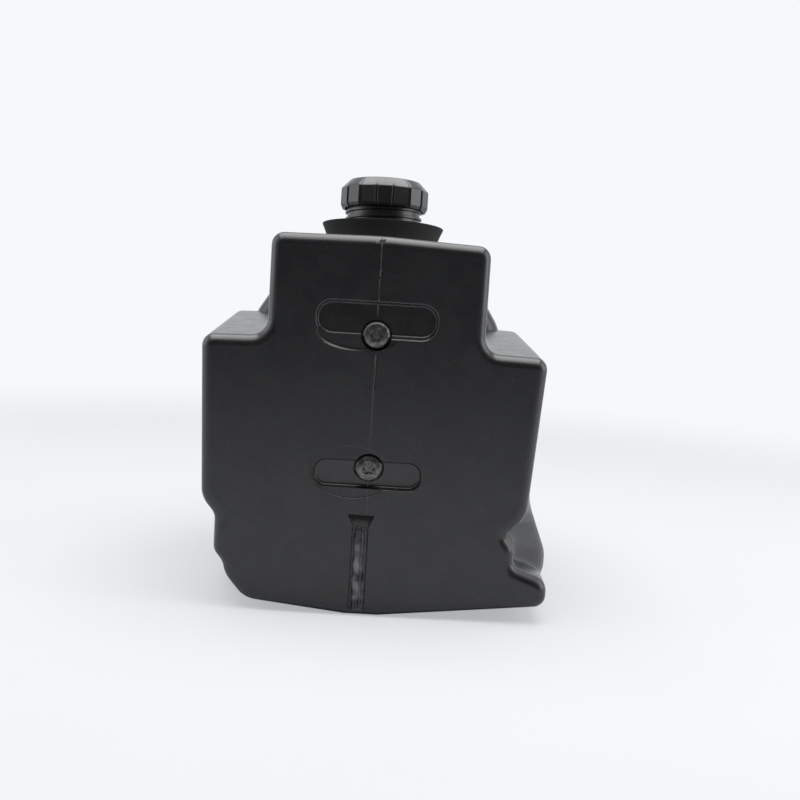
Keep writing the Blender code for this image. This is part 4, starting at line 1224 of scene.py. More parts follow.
    def bulge(self, wall: float) -> Form:
        """The rear bulge, or its hollow.

        Args:
            wall: how far inside the outer surface it lies.

        Returns:
            The closed form, rounded more where it leaves the body than at its back.
        """
        section = self.rear_section().inset(wall)
        start = self.depth - self.rear_overlap + wall
        stop = self.depth + self.rear_depth - wall
        near = self.rear_fillet - wall
        far = self.face_fillet - wall
        rings = self.fillet(section.inset(near), section, start, start + near)
        rings += [self.ring(section, start + near), self.ring(section, stop - far)]
        rings += reversed(self.fillet(section.inset(far), section, stop, stop - far))
        return Form.lofted(rings)

    def inside(self) -> bpy.types.Object:
        """The oil space, with room left for the pockets and the inserts."""
        wall = self.wall
        last = self.depth - self.face_fillet
        end = self.hull_section(self.depth).inset(self.face_fillet)
        rings = [self.ring(self.face_section(), wall)]
        rings.append(self.ring(self.front_section(self.face_fillet).inset(wall), self.face_fillet))
        rings += self.ramp(wall)
        rings.append(self.ring(self.hull_section(last).inset(wall), last))
        rings.append(self.ring(end, self.depth - wall))
        space = Form.lofted(rings).piece("oil_space")
        combine(space, self.bulge(wall), Join.ADD)
        bottom = -self.seat_depth - self.screw_insert_length - wall
        for pocket in POCKETS:
            floor = pocket.floor
            back = FRONT_Y + floor.depth + wall
            around = floor.outline(wall)
            rings = [[(floor.x + x, y, floor.z + z) for x, z in around] for y in (FRONT_Y, back)]
            combine(space, Form.lofted(rings), Join.CUT)
            boss = Form.turned(disc(self.seat_radius + wall, bottom, 0.0), SMALL_SIDES)
            combine(space, boss.placed(pocket.matrix()), Join.CUT)
        for port in self.ports:
            hole = port.insert_radius() + CLEARANCE
            boss = disc(hole + wall, -port.insert_length, 0.0)
            combine(space, Form.turned(boss, SMALL_SIDES).placed(port.matrix()), Join.CUT)
            through = disc(hole, -port.insert_length - OVERRUN, OVERRUN)
            combine(space, Form.turned(through, SMALL_SIDES).placed(port.matrix()), Join.ADD)
        bore = disc(self.neck_radius - self.neck_wall, -wall - OVERRUN, self.neck_height + OVERRUN)
        combine(space, Form.turned(bore).placed(self.neck), Join.ADD)
        return space

    def neck_form(self) -> Form:
        """The neck with its thread, on the flat pad that takes the collar."""
        soft = self.soft
        section = profile(
            Corner(0.0, self.neck_height),
            Corner(self.neck_radius, self.neck_height, soft),
            Corner(self.neck_radius, self.neck_pad_height, soft),
            Corner(self.neck_pad_radius, self.neck_pad_height, soft),
            Corner(self.neck_pad_radius + soft, -self.wall),
            Corner(0.0, -self.wall),
        )
        neck = Form.turned(section).piece("neck")
        crest = self.neck_radius + self.thread_height
        combine(neck, Thread().ridge(self.neck_radius, crest, self.thread_low, self.thread_turns), Join.ADD)
        return Form.taken(neck).placed(self.neck)

    def pad(self, port: Port) -> Form:
        """The raised round pad of a port, with a flared foot."""
        radius = port.insert_radius() + self.pad_margin
        rim = radius + 2 * self.pad_flare
        bottom = -self.pad_height - self.wall / 2
        section = profile(
            Corner(0.0, 0.0),
            Corner(radius, 0.0, self.soft),
            Corner(radius, -self.pad_height, self.pad_flare),
            Corner(rim, -self.pad_height - self.pad_fall),
            Corner(rim, bottom),
            Corner(0.0, bottom),
        )
        return Form.turned(section).placed(port.matrix())

    def screw_hole(self, pocket: Pocket) -> Form:
        """The seat of a screw and the hole of its insert."""
        seat = self.seat_radius
        hole = self.screw_insert_radius + CLEARANCE
        floor = -pocket.floor.depth
        bottom = -self.seat_depth - self.screw_insert_length - CLEARANCE
        section = [
            (0.0, OVERRUN),
            (seat + self.seat_soft, OVERRUN),
            (seat + self.seat_soft, floor),
            (seat, floor - self.seat_soft),
            (seat, -self.seat_depth),
            (hole, -self.seat_depth),
            (hole, bottom),
            (0.0, bottom),
        ]
        return Form.turned(section).placed(pocket.matrix())

    def build(self) -> bpy.types.Object:
        """Makes the outside.

        Returns:
            The moulding, still solid.
        """
        tank = self.body().piece("tank_look")
        combine(tank, self.bulge(0.0), Join.ADD)
        combine(tank, self.neck_form(), Join.ADD)
        for port in self.ports:
            combine(tank, self.pad(port), Join.ADD)
        for pocket in POCKETS:
            combine(tank, pocket.dish.cutter(FRONT_Y), Join.CUT)
            combine(tank, pocket.floor.cutter(FRONT_Y), Join.CUT)
            combine(tank, self.screw_hole(pocket), Join.CUT)
        for recess in (PINCH_GROOVE, PINCH_DIMPLE, PARTING_SLIT, MOULD_DENT):
            combine(tank, recess.cutter(FRONT_Y), Join.CUT)
        return tank

    def hollow(self, tank: bpy.types.Object) -> None:
        """Takes the oil space out of the solid moulding and finishes it.

        Args:
            tank: the moulding.
        """
        combine(tank, Form.taken(self.inside()), Join.CUT)
        dress(tank, TANK_PLASTIC, Body.TANK, "tank_shell")


@dataclass
class PartingLine:
    """The fine ridge that the mould's joint leaves round the tank."""

    width: float = 1.7 * MM
    height: float = 0.3 * MM
    bury: float = 0.25 * MM
    step: float = 2.5 * MM
    swing: float = 0.35 * MM
    wander: float = 14 * MM
    ripple: float = 0.8
    ripple_length: float = 2.8 * MM
    neck_room: float = 53 * MM
    front_room: float = 36 * MM
    screw_room: float = 14 * MM
    port_room: float = 18 * MM
    pinch_top: float = 86 * MM
    rest_room: float = 8 * MM
    middle: Point = (0.0, 20 * MM, 150 * MM)

    def free(self, place: Vector, neck: Matrix, ports: Sequence[Port]) -> bool:
        """Whether the ridge shows at a place.

        Args:
            place: a point on the joint.
            neck: the neck's frame.
            ports: the ports on the back.

        Returns:
            False inside the collar, the screws' seats, the pinched strip, the ports and under the keel.
        """
        across = neck.inverted() @ place
        if math.hypot(across.x, across.y) < self.neck_room and across.z > -OVERRUN:
            return False
        front = place.y < FRONT_Y + self.front_room
        if front and place.z < self.pinch_top:
            return False
        for pocket in POCKETS:
            if front and abs(place.z - pocket.screw_height) < self.screw_room:
                return False
        for port in ports:
            room = port.insert_radius() + self.port_room
            away = math.hypot(place.x - port.x, place.z - port.z)
            if place.y > port.y - self.port_room and away < room:
                return False
        return place.z > self.rest_room

    def chains(self, tank: bpy.types.Object) -> list[list[Vector]]:
        """Cuts a copy of the tank along the joint.

        Args:
            tank: the solid moulding.

        Returns:
            The cut as lines of points.
        """
        form = Form()
        form.bm.from_mesh(tank.data)
        everything = form.bm.verts[:] + form.bm.edges[:] + form.bm.faces[:]
        plane = {"plane_co": (0, 0, 0), "plane_no": (1, 0, 0)}
        cut = bmesh.ops.bisect_plane(form.bm, geom=everything, dist=WELD, **plane)
        edges = {g for g in cut["geom_cut"] if isinstance(g, bmesh.types.BMEdge)}
        lines = []
        while edges:
            line = list(edges.pop().verts)
            for end in (-1, 0):
                step = self.next_edge(line[end], edges)
                while step is not None:
                    edges.discard(step)
                    line.insert(len(line) if end else 0, step.other_vert(line[end]))
                    step = self.next_edge(line[end], edges)
            lines.append([vert.co.copy() for vert in line])
        form.bm.free()
        return lines

    @staticmethod
    def next_edge(vert: bmesh.types.BMVert, edges: set) -> bmesh.types.BMEdge | None:
        """An unused edge of the cut at a point, if there is one."""
        return next((edge for edge in vert.link_edges if edge in edges), None)

    def stations(self, line: list[Vector]) -> list[Vector]:
        """Spaces a line's points evenly.

        Args:
            line: its points.

        Returns:
            Points a step apart.
        """
        found = [line[0]]
        for here, there in zip(line, line[1:]):
            count = max(1, round((there - here).length / self.step))
            found += [here.lerp(there, (k + 1) / count) for k in range(count)]
        return [p for i, p in enumerate(found) if i == 0 or (p - found[i - 1]).length > WELD]

    def strip(self, line: list[Vector]) -> Form:
        """A low ridge along a line.

        Args:
            line: evenly spaced points on the surface.

        Returns:
            The ridge, a little sunk into the surface.
        """
        rings = []
        for i, place in enumerate(line):
            ahead = line[min(i + 1, len(line) - 1)] - line[max(i - 1, 0)]
            out = Vector((0.0, -ahead.z, ahead.y)).normalized()
            sway = self.swing * noise.noise(place / self.wander)
            tall = self.height * (1 + self.ripple * noise.noise(place / self.ripple_length))
            half = self.width / 2
            section = ((-half, -self.bury), (0.0, tall), (half, -self.bury), (0.0, -2 * self.bury))
            rings.append([tuple(place + out * rise + Vector((sway + x, 0.0, 0.0))) for x, rise in section])
        return Form.lofted(rings)

    def outward(self, line: list[Vector]) -> list[Vector]:
        """Turns a line so that it goes round the tank the way that strip expects."""
        middle = Vector(self.middle)
        swept = sum((a - middle).yz.cross((b - middle).yz) for a, b in zip(line, line[1:]))
        return line if swept < 0 else line[::-1]

    def build(self, tank: bpy.types.Object, neck: Matrix, ports: Sequence[Port]) -> None:
        """Lays the ridge wherever it shows.

        Args:
            tank: the solid moulding.
            neck: the neck's frame.
            ports: the ports on the back.
        """
        whole = Form()
        for line in self.chains(tank):
            run: list[Vector] = []
            for place in [*self.stations(line), None]:
                if place is not None and self.free(place, neck, ports):
                    run.append(place)
                    continue
                if len(run) > 2:
                    whole.joined(self.strip(self.outward(run)))
                run = []
        dress(whole.piece("parting_line"), TANK_PLASTIC, Body.TANK)


def bell(offset: float, width: float) -> float:
    """A smooth hump: 1 in its middle, and little beyond its width."""
    return math.exp(-((offset / width) ** 2))


@dataclass
class PinchFlash:
    """The squeezed strip at the foot of the joint, and the crumbs left at both ends of the joint."""

    left: float = -8.6 * MM
    right: float = 1.2 * MM
    low: float = 5 * MM
    high: float = 72 * MM
    floor: float = 2.7 * MM
    thickness: float = 2.4 * MM
    columns: int = 14
    rows: int = 80
    ragged: float = 1.1 * MM
    ragged_length: float = 7 * MM
    ragged_waves: float = 2.0
    ragged_seed: float = 0.3
    rough: float = 0.35 * MM
    rough_length: float = 5 * MM
    rough_waves: float = 12.0
    rough_seed: float = 1.7
    band_slope: float = 9.0
    band_end: float = 0.62
    band_left: float = 0.75
    furrow: float = 0.35
    fin_place: float = 0.86
    fin_width: float = 0.07
    hole_across: float = 0.45
    hole_width: float = 0.12
    hole_height: float = 33 * MM
    hole_span: float = 2 * MM
    hole_depth: float = 1.5 * MM
    crumbs: tuple[Point, ...] = (
        (-3.6 * MM, FRONT_Y + 0.9 * MM, 305 * MM),
        (-1.2 * MM, FRONT_Y + 1.2 * MM, 305.6 * MM),
        (1.5 * MM, FRONT_Y + 1.7 * MM, 306.3 * MM),
        (-5.5 * MM, FRONT_Y + 1.3 * MM, 73.5 * MM),
        (-1.5 * MM, FRONT_Y + 1.5 * MM, 72.8 * MM),
        (-7.6 * MM, FRONT_Y + 1.2 * MM, 70.5 * MM),
    )
    crumb: float = 1.5 * MM
    crumb_rough: float = 0.8
    crumb_seed: float = 900.0
    crumb_detail: int = 3
    crumb_squash: Point = (1.0, 0.45, 0.8)

    def rise(self, across: float, up: float) -> float:
        """Height of the strip's surface over the groove.

        Args:
            across: 0 at its left edge, 1 at its right.
            up: height along it.

        Returns:
            A height: a broad band at the left, a furrow, then a thin fin.
        """
        band = min(1.0, self.band_slope * across) * (1.0 if across < self.band_end else self.furrow)
        fuller = self.band_left + (1 - self.band_left) * across
        tall = self.thickness * max(band * fuller, bell(across - self.fin_place, self.fin_width))
        spot = Vector((across * self.rough_waves, up / self.rough_length, self.rough_seed))
        hole = bell(across - self.hole_across, self.hole_width) * bell(up - self.hole_height, self.hole_span)
        return max(tall + self.rough * noise.noise(spot) - self.hole_depth * hole, 0.0)

    def strip(self) -> Form:
        """The strip, with ragged sides and a flat back."""
        form = Form()
        bmesh.ops.create_grid(form.bm, x_segments=self.columns, y_segments=self.rows, size=0.5)
        for vert in form.bm.verts:
            across, along = vert.co.x + 0.5, vert.co.y + 0.5
            up = self.low + (self.high - self.low) * along
            spot = Vector((across * self.ragged_waves, up / self.ragged_length, self.ragged_seed))
            x = self.left + (self.right - self.left) * across + self.ragged * noise.noise(spot)
            vert.co = (x, FRONT_Y + self.floor - self.rise(across, up), up)
        skin = bmesh.ops.extrude_face_region(form.bm, geom=form.bm.faces[:])
        for vert in (g for g in skin["geom"] if isinstance(g, bmesh.types.BMVert)):
            vert.co.y = FRONT_Y + self.floor + CLEARANCE
        return form.closed()

    def bits(self) -> Form:
        """The crumbs, each of its own shape."""
        form = Form()
        squash = Matrix.Diagonal((*self.crumb_squash, 1.0))
        for place in self.crumbs:
            bit = Form()
            bmesh.ops.create_icosphere(bit.bm, subdivisions=self.crumb_detail, radius=self.crumb)
            for vert in bit.bm.verts:
                spot = vert.co / self.crumb + Vector(place) * self.crumb_seed
                vert.co *= 1 + self.crumb_rough * noise.noise(spot)
            form.joined(bit.placed(Matrix.Translation(place) @ squash))
        return form

    def build(self) -> None:
        """Makes the strip and the crumbs."""
        # Both take the flash finish, whose light spots are partly whitened plastic and partly painted highlights.
        dress(self.strip().piece("pinch_flash"), WHITENED_FLASH_WITH_PAINTED_HIGHLIGHTS, Body.TANK)
        dress(self.bits().piece("flash_crumbs"), WHITENED_FLASH_WITH_PAINTED_HIGHLIGHTS, Body.TANK)


@dataclass
class FillerCap:
    """The screw cap: grip flats with grooves between them, a chamfered top and the breather's cage inside."""

    neck: Matrix
    radius: float = 37.6 * MM
    top_radius: float = 30.1 * MM
    foot: float = 34.2 * MM
    top: float = 58.8 * MM
    skirt: float = 16.7 * MM
    ceiling: float = 54.8 * MM
    bore: float = 34 * MM
    seat_radius: float = 31.5 * MM
    neck_top: float = 50 * MM
    flats: int = 16
    flat_steps: int = 6
    groove_width: float = 2 * MM
    groove_depth: float = 1.2 * MM
    groove_steps: int = 6
    groove_edge: float = 1.5
    lip: float = 1.3 * MM
    lip_height: float = 3 * MM
    foot_inset: float = 0.4 * MM
    foot_rise: float = 0.3 * MM
    soft: float = 0.7 * MM
    cage_radius: float = 23.5 * MM
    cage_bore: float = 21.5 * MM
    cage_foot: float = 34.8 * MM
    cage_lip: float = 1.5 * MM
    cage_lip_height: float = 1.2 * MM
    guide_radius: float = 6.5 * MM
    guide_foot: float = 49.8 * MM
    stem_bore: float = 2.5 * MM
    thread_low: float = 37 * MM
    thread_crest: float = 31.6 * MM
    thread_turns: float = 1.25

    def turns(self) -> list[Flat]:
        """Angles across one groove and the flat after it.

        Returns:
            (angle, share of the groove's depth) pairs, from the edge of the groove on.
        """
        half_flat = math.pi / self.flats
        reach = self.groove_edge * self.groove_width / 2 / self.radius
        edge = half_flat - reach
        found = []
        for k in range(self.groove_steps + 1):
            t = 2 * k / self.groove_steps - 1
            found.append((half_flat + reach * t, (1 - t * t) ** 2))
        for k in range(1, self.flat_steps):
            found.append((2 * half_flat + edge * (2 * k / self.flat_steps - 1), 0.0))
        return found

    def grip(self, inset: float, groove: float, roundness: float, height: float) -> list[Point]:
        """One ring of the cap's outside.

        Args:
            inset: how far the ring lies inside the skirt.
            groove: how much of their depth the grooves have.
            roundness: 0 for flats, 1 for a circle.
            height: the ring's height.

        Returns:
            The ring's points.
        """
        half_flat = math.pi / self.flats
        edge = half_flat - self.groove_edge * self.groove_width / 2 / self.radius
        ring = []
        for k in range(self.flats):
            for turn, depth in self.turns():
                local = (turn + half_flat) % (2 * half_flat) - half_flat
                flat = self.radius * math.cos(edge) / math.cos(min(abs(local), edge))
                radius = flat + (self.radius - flat) * roundness - inset - depth * groove * self.groove_depth
                angle = 2 * half_flat * k + turn
                ring.append((radius * math.cos(angle), radius * math.sin(angle), height))
        return ring

    def outside(self) -> Form:
        """The cap's outer form."""
        shoulder = self.foot + self.skirt
        chamfer = self.radius - self.top_radius
        slope = chamfer / (self.top - shoulder)
        soft = self.soft
        # Each ring's inset, share of the grooves' depth, roundness and height.
        levels = [
            (self.lip + self.foot_inset, 1.0, 0.0, self.foot),
            (self.lip, 1.0, 0.0, self.foot + self.foot_rise),
            (self.lip / 3, 1.0, 0.0, self.foot + self.lip_height * 0.8),
            (0.0, 1.0, 0.0, self.foot + self.lip_height),
            (0.0, 1.0, 0.0, shoulder - soft),
            (0.12 * soft, 1.0, 0.0, shoulder - 0.4 * soft),
            (0.5 * soft, 1.0, 0.0, shoulder + 0.2 * soft),
            (slope * soft, 0.8, 0.1, shoulder + soft),
            (0.3 * chamfer, 0.2, 0.7, shoulder + 0.3 * (self.top - shoulder)),
            (0.5 * chamfer, 0.0, 1.0, (shoulder + self.top) / 2),
            (chamfer - slope * soft, 0.0, 1.0, self.top - soft),
            (chamfer - 0.3 * slope * soft, 0.0, 1.0, self.top - 0.4 * soft),
            (chamfer + soft, 0.0, 1.0, self.top - 0.08 * soft),
            (chamfer + 2.5 * soft, 0.0, 1.0, self.top),
        ]
        return Form.lofted([self.grip(*level) for level in levels])

    def void(self) -> Form:
        """The hollow under the cap, round the breather's cage and the valve's guide."""
        under = self.foot - OVERRUN
        lip_top = self.cage_foot + self.cage_lip_height
        inner = self.cage_bore - self.cage_lip
        section = [
            (0.0, self.ceiling + CLEARANCE),
            (self.stem_bore, self.ceiling + CLEARANCE),
            (self.stem_bore, self.guide_foot),
            (self.guide_radius, self.guide_foot),
            (self.guide_radius, self.ceiling),
            (self.cage_bore, self.ceiling),
            (self.cage_bore, lip_top),
            (inner, lip_top),
            (inner, self.cage_foot),
            (self.cage_radius, self.cage_foot),
            (self.cage_radius, self.ceiling),
            (self.seat_radius, self.ceiling),
            (self.seat_radius, self.neck_top),
            (self.bore, self.neck_top - self.bore + self.seat_radius),
            (self.bore, under),
            (0.0, under),
        ]
        return Form.turned(section)

    def build(self) -> None:
        """Makes the cap with its inner thread."""
        cap = self.outside().piece("filler_cap_look")
        combine(cap, self.void(), Join.CUT)
        ridge = Thread().ridge(self.bore, self.thread_crest, self.thread_low, self.thread_turns)
        combine(cap, ridge, Join.ADD)
        cap.data.transform(self.neck)
        dress(cap, CAP_PLASTIC, Body.CAP, "filler_cap")


@dataclass
class NeckCollar:
    """The flared rubber collar round the foot of the neck."""

    neck: Matrix
    bore: float = 31.3 * MM
    bottom: float = 1.3 * MM
    height: float = 19.2 * MM
    floor: float = 5 * MM
    foot_radius: float = 46.5 * MM
    rim_radius: float = 52 * MM
    wall: float = 3 * MM
    rim_share: float = 0.7
    hollow: float = 1.6 * MM
    soft: float = 0.9 * MM
    steps: int = 10

    def build(self) -> None:
        """Makes the collar, whose wall is drawn in between its foot and its rim."""
        rim = self.bottom + self.height
        base = self.bottom + self.floor
        soft = self.soft
        inner, outer = [], []
        for k in range(1, self.steps):
            t = k / self.steps
            drawn = self.hollow * math.sin(math.pi * t) * (1 - t / 2)
            radius = self.foot_radius + (self.rim_radius - self.foot_radius) * t - drawn
            height = self.bottom + self.height * t
            outer.append(Corner(radius, height))
            if height > base + soft:
                inner.append(Corner(radius - self.wall * (1 - t / 3), height))
        section = profile(
            Corner(self.bore, base),
            Corner(inner[0].x - soft, base, soft),
            *inner,
            Corner(self.rim_radius - self.rim_share * self.wall, rim, soft / 2),
            Corner(self.rim_radius, rim, soft / 2),
            *reversed(outer),
            Corner(self.foot_radius, self.bottom, soft),
            Corner(self.bore, self.bottom),
        )
        collar = Form.turned(section, 2 * SMALL_SIDES).placed(self.neck)
        show(collar, RUBBER, Body.TANK, "neck_collar")


@dataclass(frozen=True)
class Socket:
    """A tool's socket with a flared mouth."""

    depth: float
    flare: float
    flare_depth: float
    lift: float = 0.02 * MM

    def cutter(self, outline: Callable[[float], list[Flat]], top: float) -> Form:
        """The body to cut out of a head.

        Args:
            outline: the socket's outline, made larger by a growth.
            top: height of the head.

        Returns:
            The socket's form, which stands out over the head.
        """
        levels = (
            (OVERRUN, self.flare),
            (self.lift, self.flare),
            (-self.flare_depth, 0.0),
            (-self.depth, 0.0),
        )
        return Form.lofted([[(x, y, top + rise) for x, y in outline(grow)] for rise, grow in levels])


@dataclass
class ButtonScrew:
    """A button-head screw with a six-lobe socket, in its pocket."""

    name: str
    pocket: Pocket
    head_radius: float = 11.2 * MM
    head_height: float = 6.6 * MM
    crown_radius: float = 6.6 * MM
    crown_soft: float = 0.8 * MM
    brow_inset: float = 1.6 * MM
    brow_drop: float = 0.9 * MM
    brow_soft: float = 1 * MM
    side_drop: float = 2.6 * MM
    side_soft: float = 0.8 * MM
    foot_soft: float = 0.4 * MM
    shank: float = 6 * MM
    length: float = 20 * MM
    seat: float = -8 * MM
    socket: Socket = Socket(depth=3 * MM, flare=0.35 * MM, flare_depth=0.4 * MM)
    socket_radius: float = 4.2 * MM
    lobe: float = 0.7 * MM
    lobes: int = 6
    lobe_steps: int = 16

    def socket_outline(self, grow: float) -> list[Flat]:
        """The socket's outline, made larger by grow."""
        count = self.lobe_steps * self.lobes
        found = []
        for k in range(count):
            angle = WHOLE_TURN * k / count
            radius = self.socket_radius + grow + self.lobe * math.cos(self.lobes * angle)
            found.append((radius * math.cos(angle), radius * math.sin(angle)))
        return found

    def build(self) -> None:
        """Makes the screw."""
        low = self.seat + CLEARANCE
        top = low + self.head_height
        end = self.seat - self.length
        section = profile(
            Corner(0.0, top),
            Corner(self.crown_radius, top, self.crown_soft),
            Corner(self.head_radius - self.brow_inset, top - self.brow_drop, self.brow_soft),
            Corner(self.head_radius, top - self.side_drop, self.side_soft),
            Corner(self.head_radius, low, self.foot_soft),
            Corner(self.shank, low),
            Corner(self.shank, end),
            Corner(0.0, end),
        )
        screw = Form.turned(section).piece(f"{self.name}_look")
        combine(screw, self.socket.cutter(self.socket_outline, top), Join.CUT)
        screw.data.transform(self.pocket.matrix())
        dress(screw, BLACK_STEEL, Body.TANK, self.name)


@dataclass
class HexPiece:
    """A hexagon that screws down on a port's seal."""

    port: Port
    margin: float = 5 * MM
    height: float = 9 * MM
    chamfer: float = math.radians(30)
    chamfer_share: float = 0.985
    engagement: float = 11 * MM

    def nut(self) -> bpy.types.Object:
        """The hexagon with both ends chamfered."""
        low = self.port.seat()
        high = low + self.height
        radius = self.port.thread + self.margin
        made = Form.prism(hexagon(radius), low, high).piece("nut")
        flat = self.chamfer_share * radius * math.cos(math.pi / HEX_SIDES)
        wide = radius + OVERRUN
        drop = (wide - flat) * math.tan(self.chamfer)
        for face, way in ((high, -1), (low, 1)):
            out = face - way * OVERRUN
            ring = [(flat, face), (flat, out), (wide, out), (wide, face + way * drop)]
            combine(made, Form.turned(ring), Join.CUT)
        return made


@dataclass
class HoseFitting(HexPiece):
    """A barbed hose tail, bored through."""

    barb_length: float = 30 * MM
    barbs: int = 3
    barb_height: float = 1.2 * MM
    hose_wall: float = 3 * MM
    soft: float = 0.3 * MM

    def build(self) -> None:
        """Makes the fitting."""
        thread = self.port.thread
        bore = thread - self.hose_wall
        top = self.port.seat() + self.height
        step = self.barb_length / self.barbs
        root = thread - self.barb_height
        corners = [Corner(bore, top + self.barb_length)]
        for k in reversed(range(self.barbs)):
            low = top + k * step
            edge = low + step / 3
            barb = ((root, low + step), (thread, edge), (root, edge))
            corners += [Corner(x, z, self.soft) for x, z in barb]
        corners += [Corner(root, top - CLEARANCE), Corner(thread, top - CLEARANCE)]
        corners += [Corner(thread, -self.engagement), Corner(bore, -self.engagement)]
        tail = Form.turned(profile(*corners, steps=3)).piece(f"{self.port.name}_fitting_look")
        body = self.nut()
        hole = disc(thread - self.hose_wall / 2, -OVERRUN, top + OVERRUN)
        combine(body, Form.turned(hole), Join.CUT)
        combine(tail, Form.taken(body), Join.ADD)
        tail.data.transform(self.port.matrix())
        dress(tail, ZINC, Body.TANK, f"{self.port.name}_fitting")


@dataclass
class DrainPlug(HexPiece):
    """A flanged plug with a hexagon socket."""

    head_height: float = 5 * MM
    head_soft: float = 1.2 * MM
    foot_soft: float = 0.4 * MM
    socket: Socket = Socket(depth=3.5 * MM, flare=0.5 * MM, flare_depth=0.5 * MM)
    socket_radius: float = 4.6 * MM

    def build(self) -> None:
        """Makes the plug."""
        low = self.port.seat()
        top = low + self.head_height
        head = self.port.thread + self.margin
        section = profile(
            Corner(0.0, top),
            Corner(head, top, self.head_soft),
            Corner(head, low, self.foot_soft),
            Corner(self.port.thread, low),
            Corner(self.port.thread, -self.engagement),
            Corner(0.0, -self.engagement),
        )
        plug = Form.turned(section).piece("drain_plug_look")
        tool = self.socket.cutter(lambda grow: hexagon(self.socket_radius + grow), top)
        combine(plug, tool, Join.CUT)
        plug.data.transform(self.port.matrix())
        dress(plug, ZINC, Body.TANK, "drain_plug")


@dataclass
class SightGlass(HexPiece):
    """The level window: a hexagon body with a clear lens on its inner shelf."""

    wall: float = 3.5 * MM
    shelf: float = 2 * MM
    lens_thickness: float = 4 * MM
    mouth: float = 0.6 * MM
    lens_soft: float = 0.5 * MM
    lens_foot_soft: float = 0.3 * MM

    def build(self) -> None:
        """Makes the body and the lens."""
        thread = self.port.thread
        top = self.port.seat() + self.height
        lens = thread - self.wall
        floor = top - self.lens_thickness - CLEARANCE
        body = self.nut()
        body.name = "sight_body_look"
        combine(body, Form.turned(disc(thread, -self.engagement, top - self.height / 2)), Join.ADD)
        bore = lens + CLEARANCE
        under = -self.engagement - OVERRUN
        void = [
            (0.0, top + OVERRUN),
            (bore + self.mouth, top + OVERRUN),
            (bore + self.mouth, top),
            (bore, top - self.mouth),
            (bore, floor),
            (lens - self.shelf, floor),
            (lens - self.shelf, under),
            (0.0, under),
        ]
        combine(body, Form.turned(void), Join.CUT)
        body.data.transform(self.port.matrix())
        dress(body, ZINC, Body.TANK, "sight_body")
        low = floor + CLEARANCE
        high = low + self.lens_thickness
        window = profile(
            Corner(0.0, high),
            Corner(lens, high, self.lens_soft),
            Corner(lens, low, self.lens_foot_soft),
            Corner(0.0, low),
        )
        show(Form.turned(window).placed(self.port.matrix()), LENS, Body.TANK, "sight_lens")


class KeptNodes:
    """The part's solids that show as they are, mostly inside the tank and the cap."""

    def build(self) -> None:
        """Gives each visible solid the finish of its material slot."""
        finishes = {finish.slot: finish for finish in FINISHES}
        slots = {row["node"]: row["material_slot"] for row in frame["record"]["subparts"]}
        for name, node in frame["nodes"].items():
            if node.hide_render:
                continue
            node.data.materials.clear()
            node.data.materials.append(finishes[slots[name]].material())
            LOG.info("%s kept as it is", name)


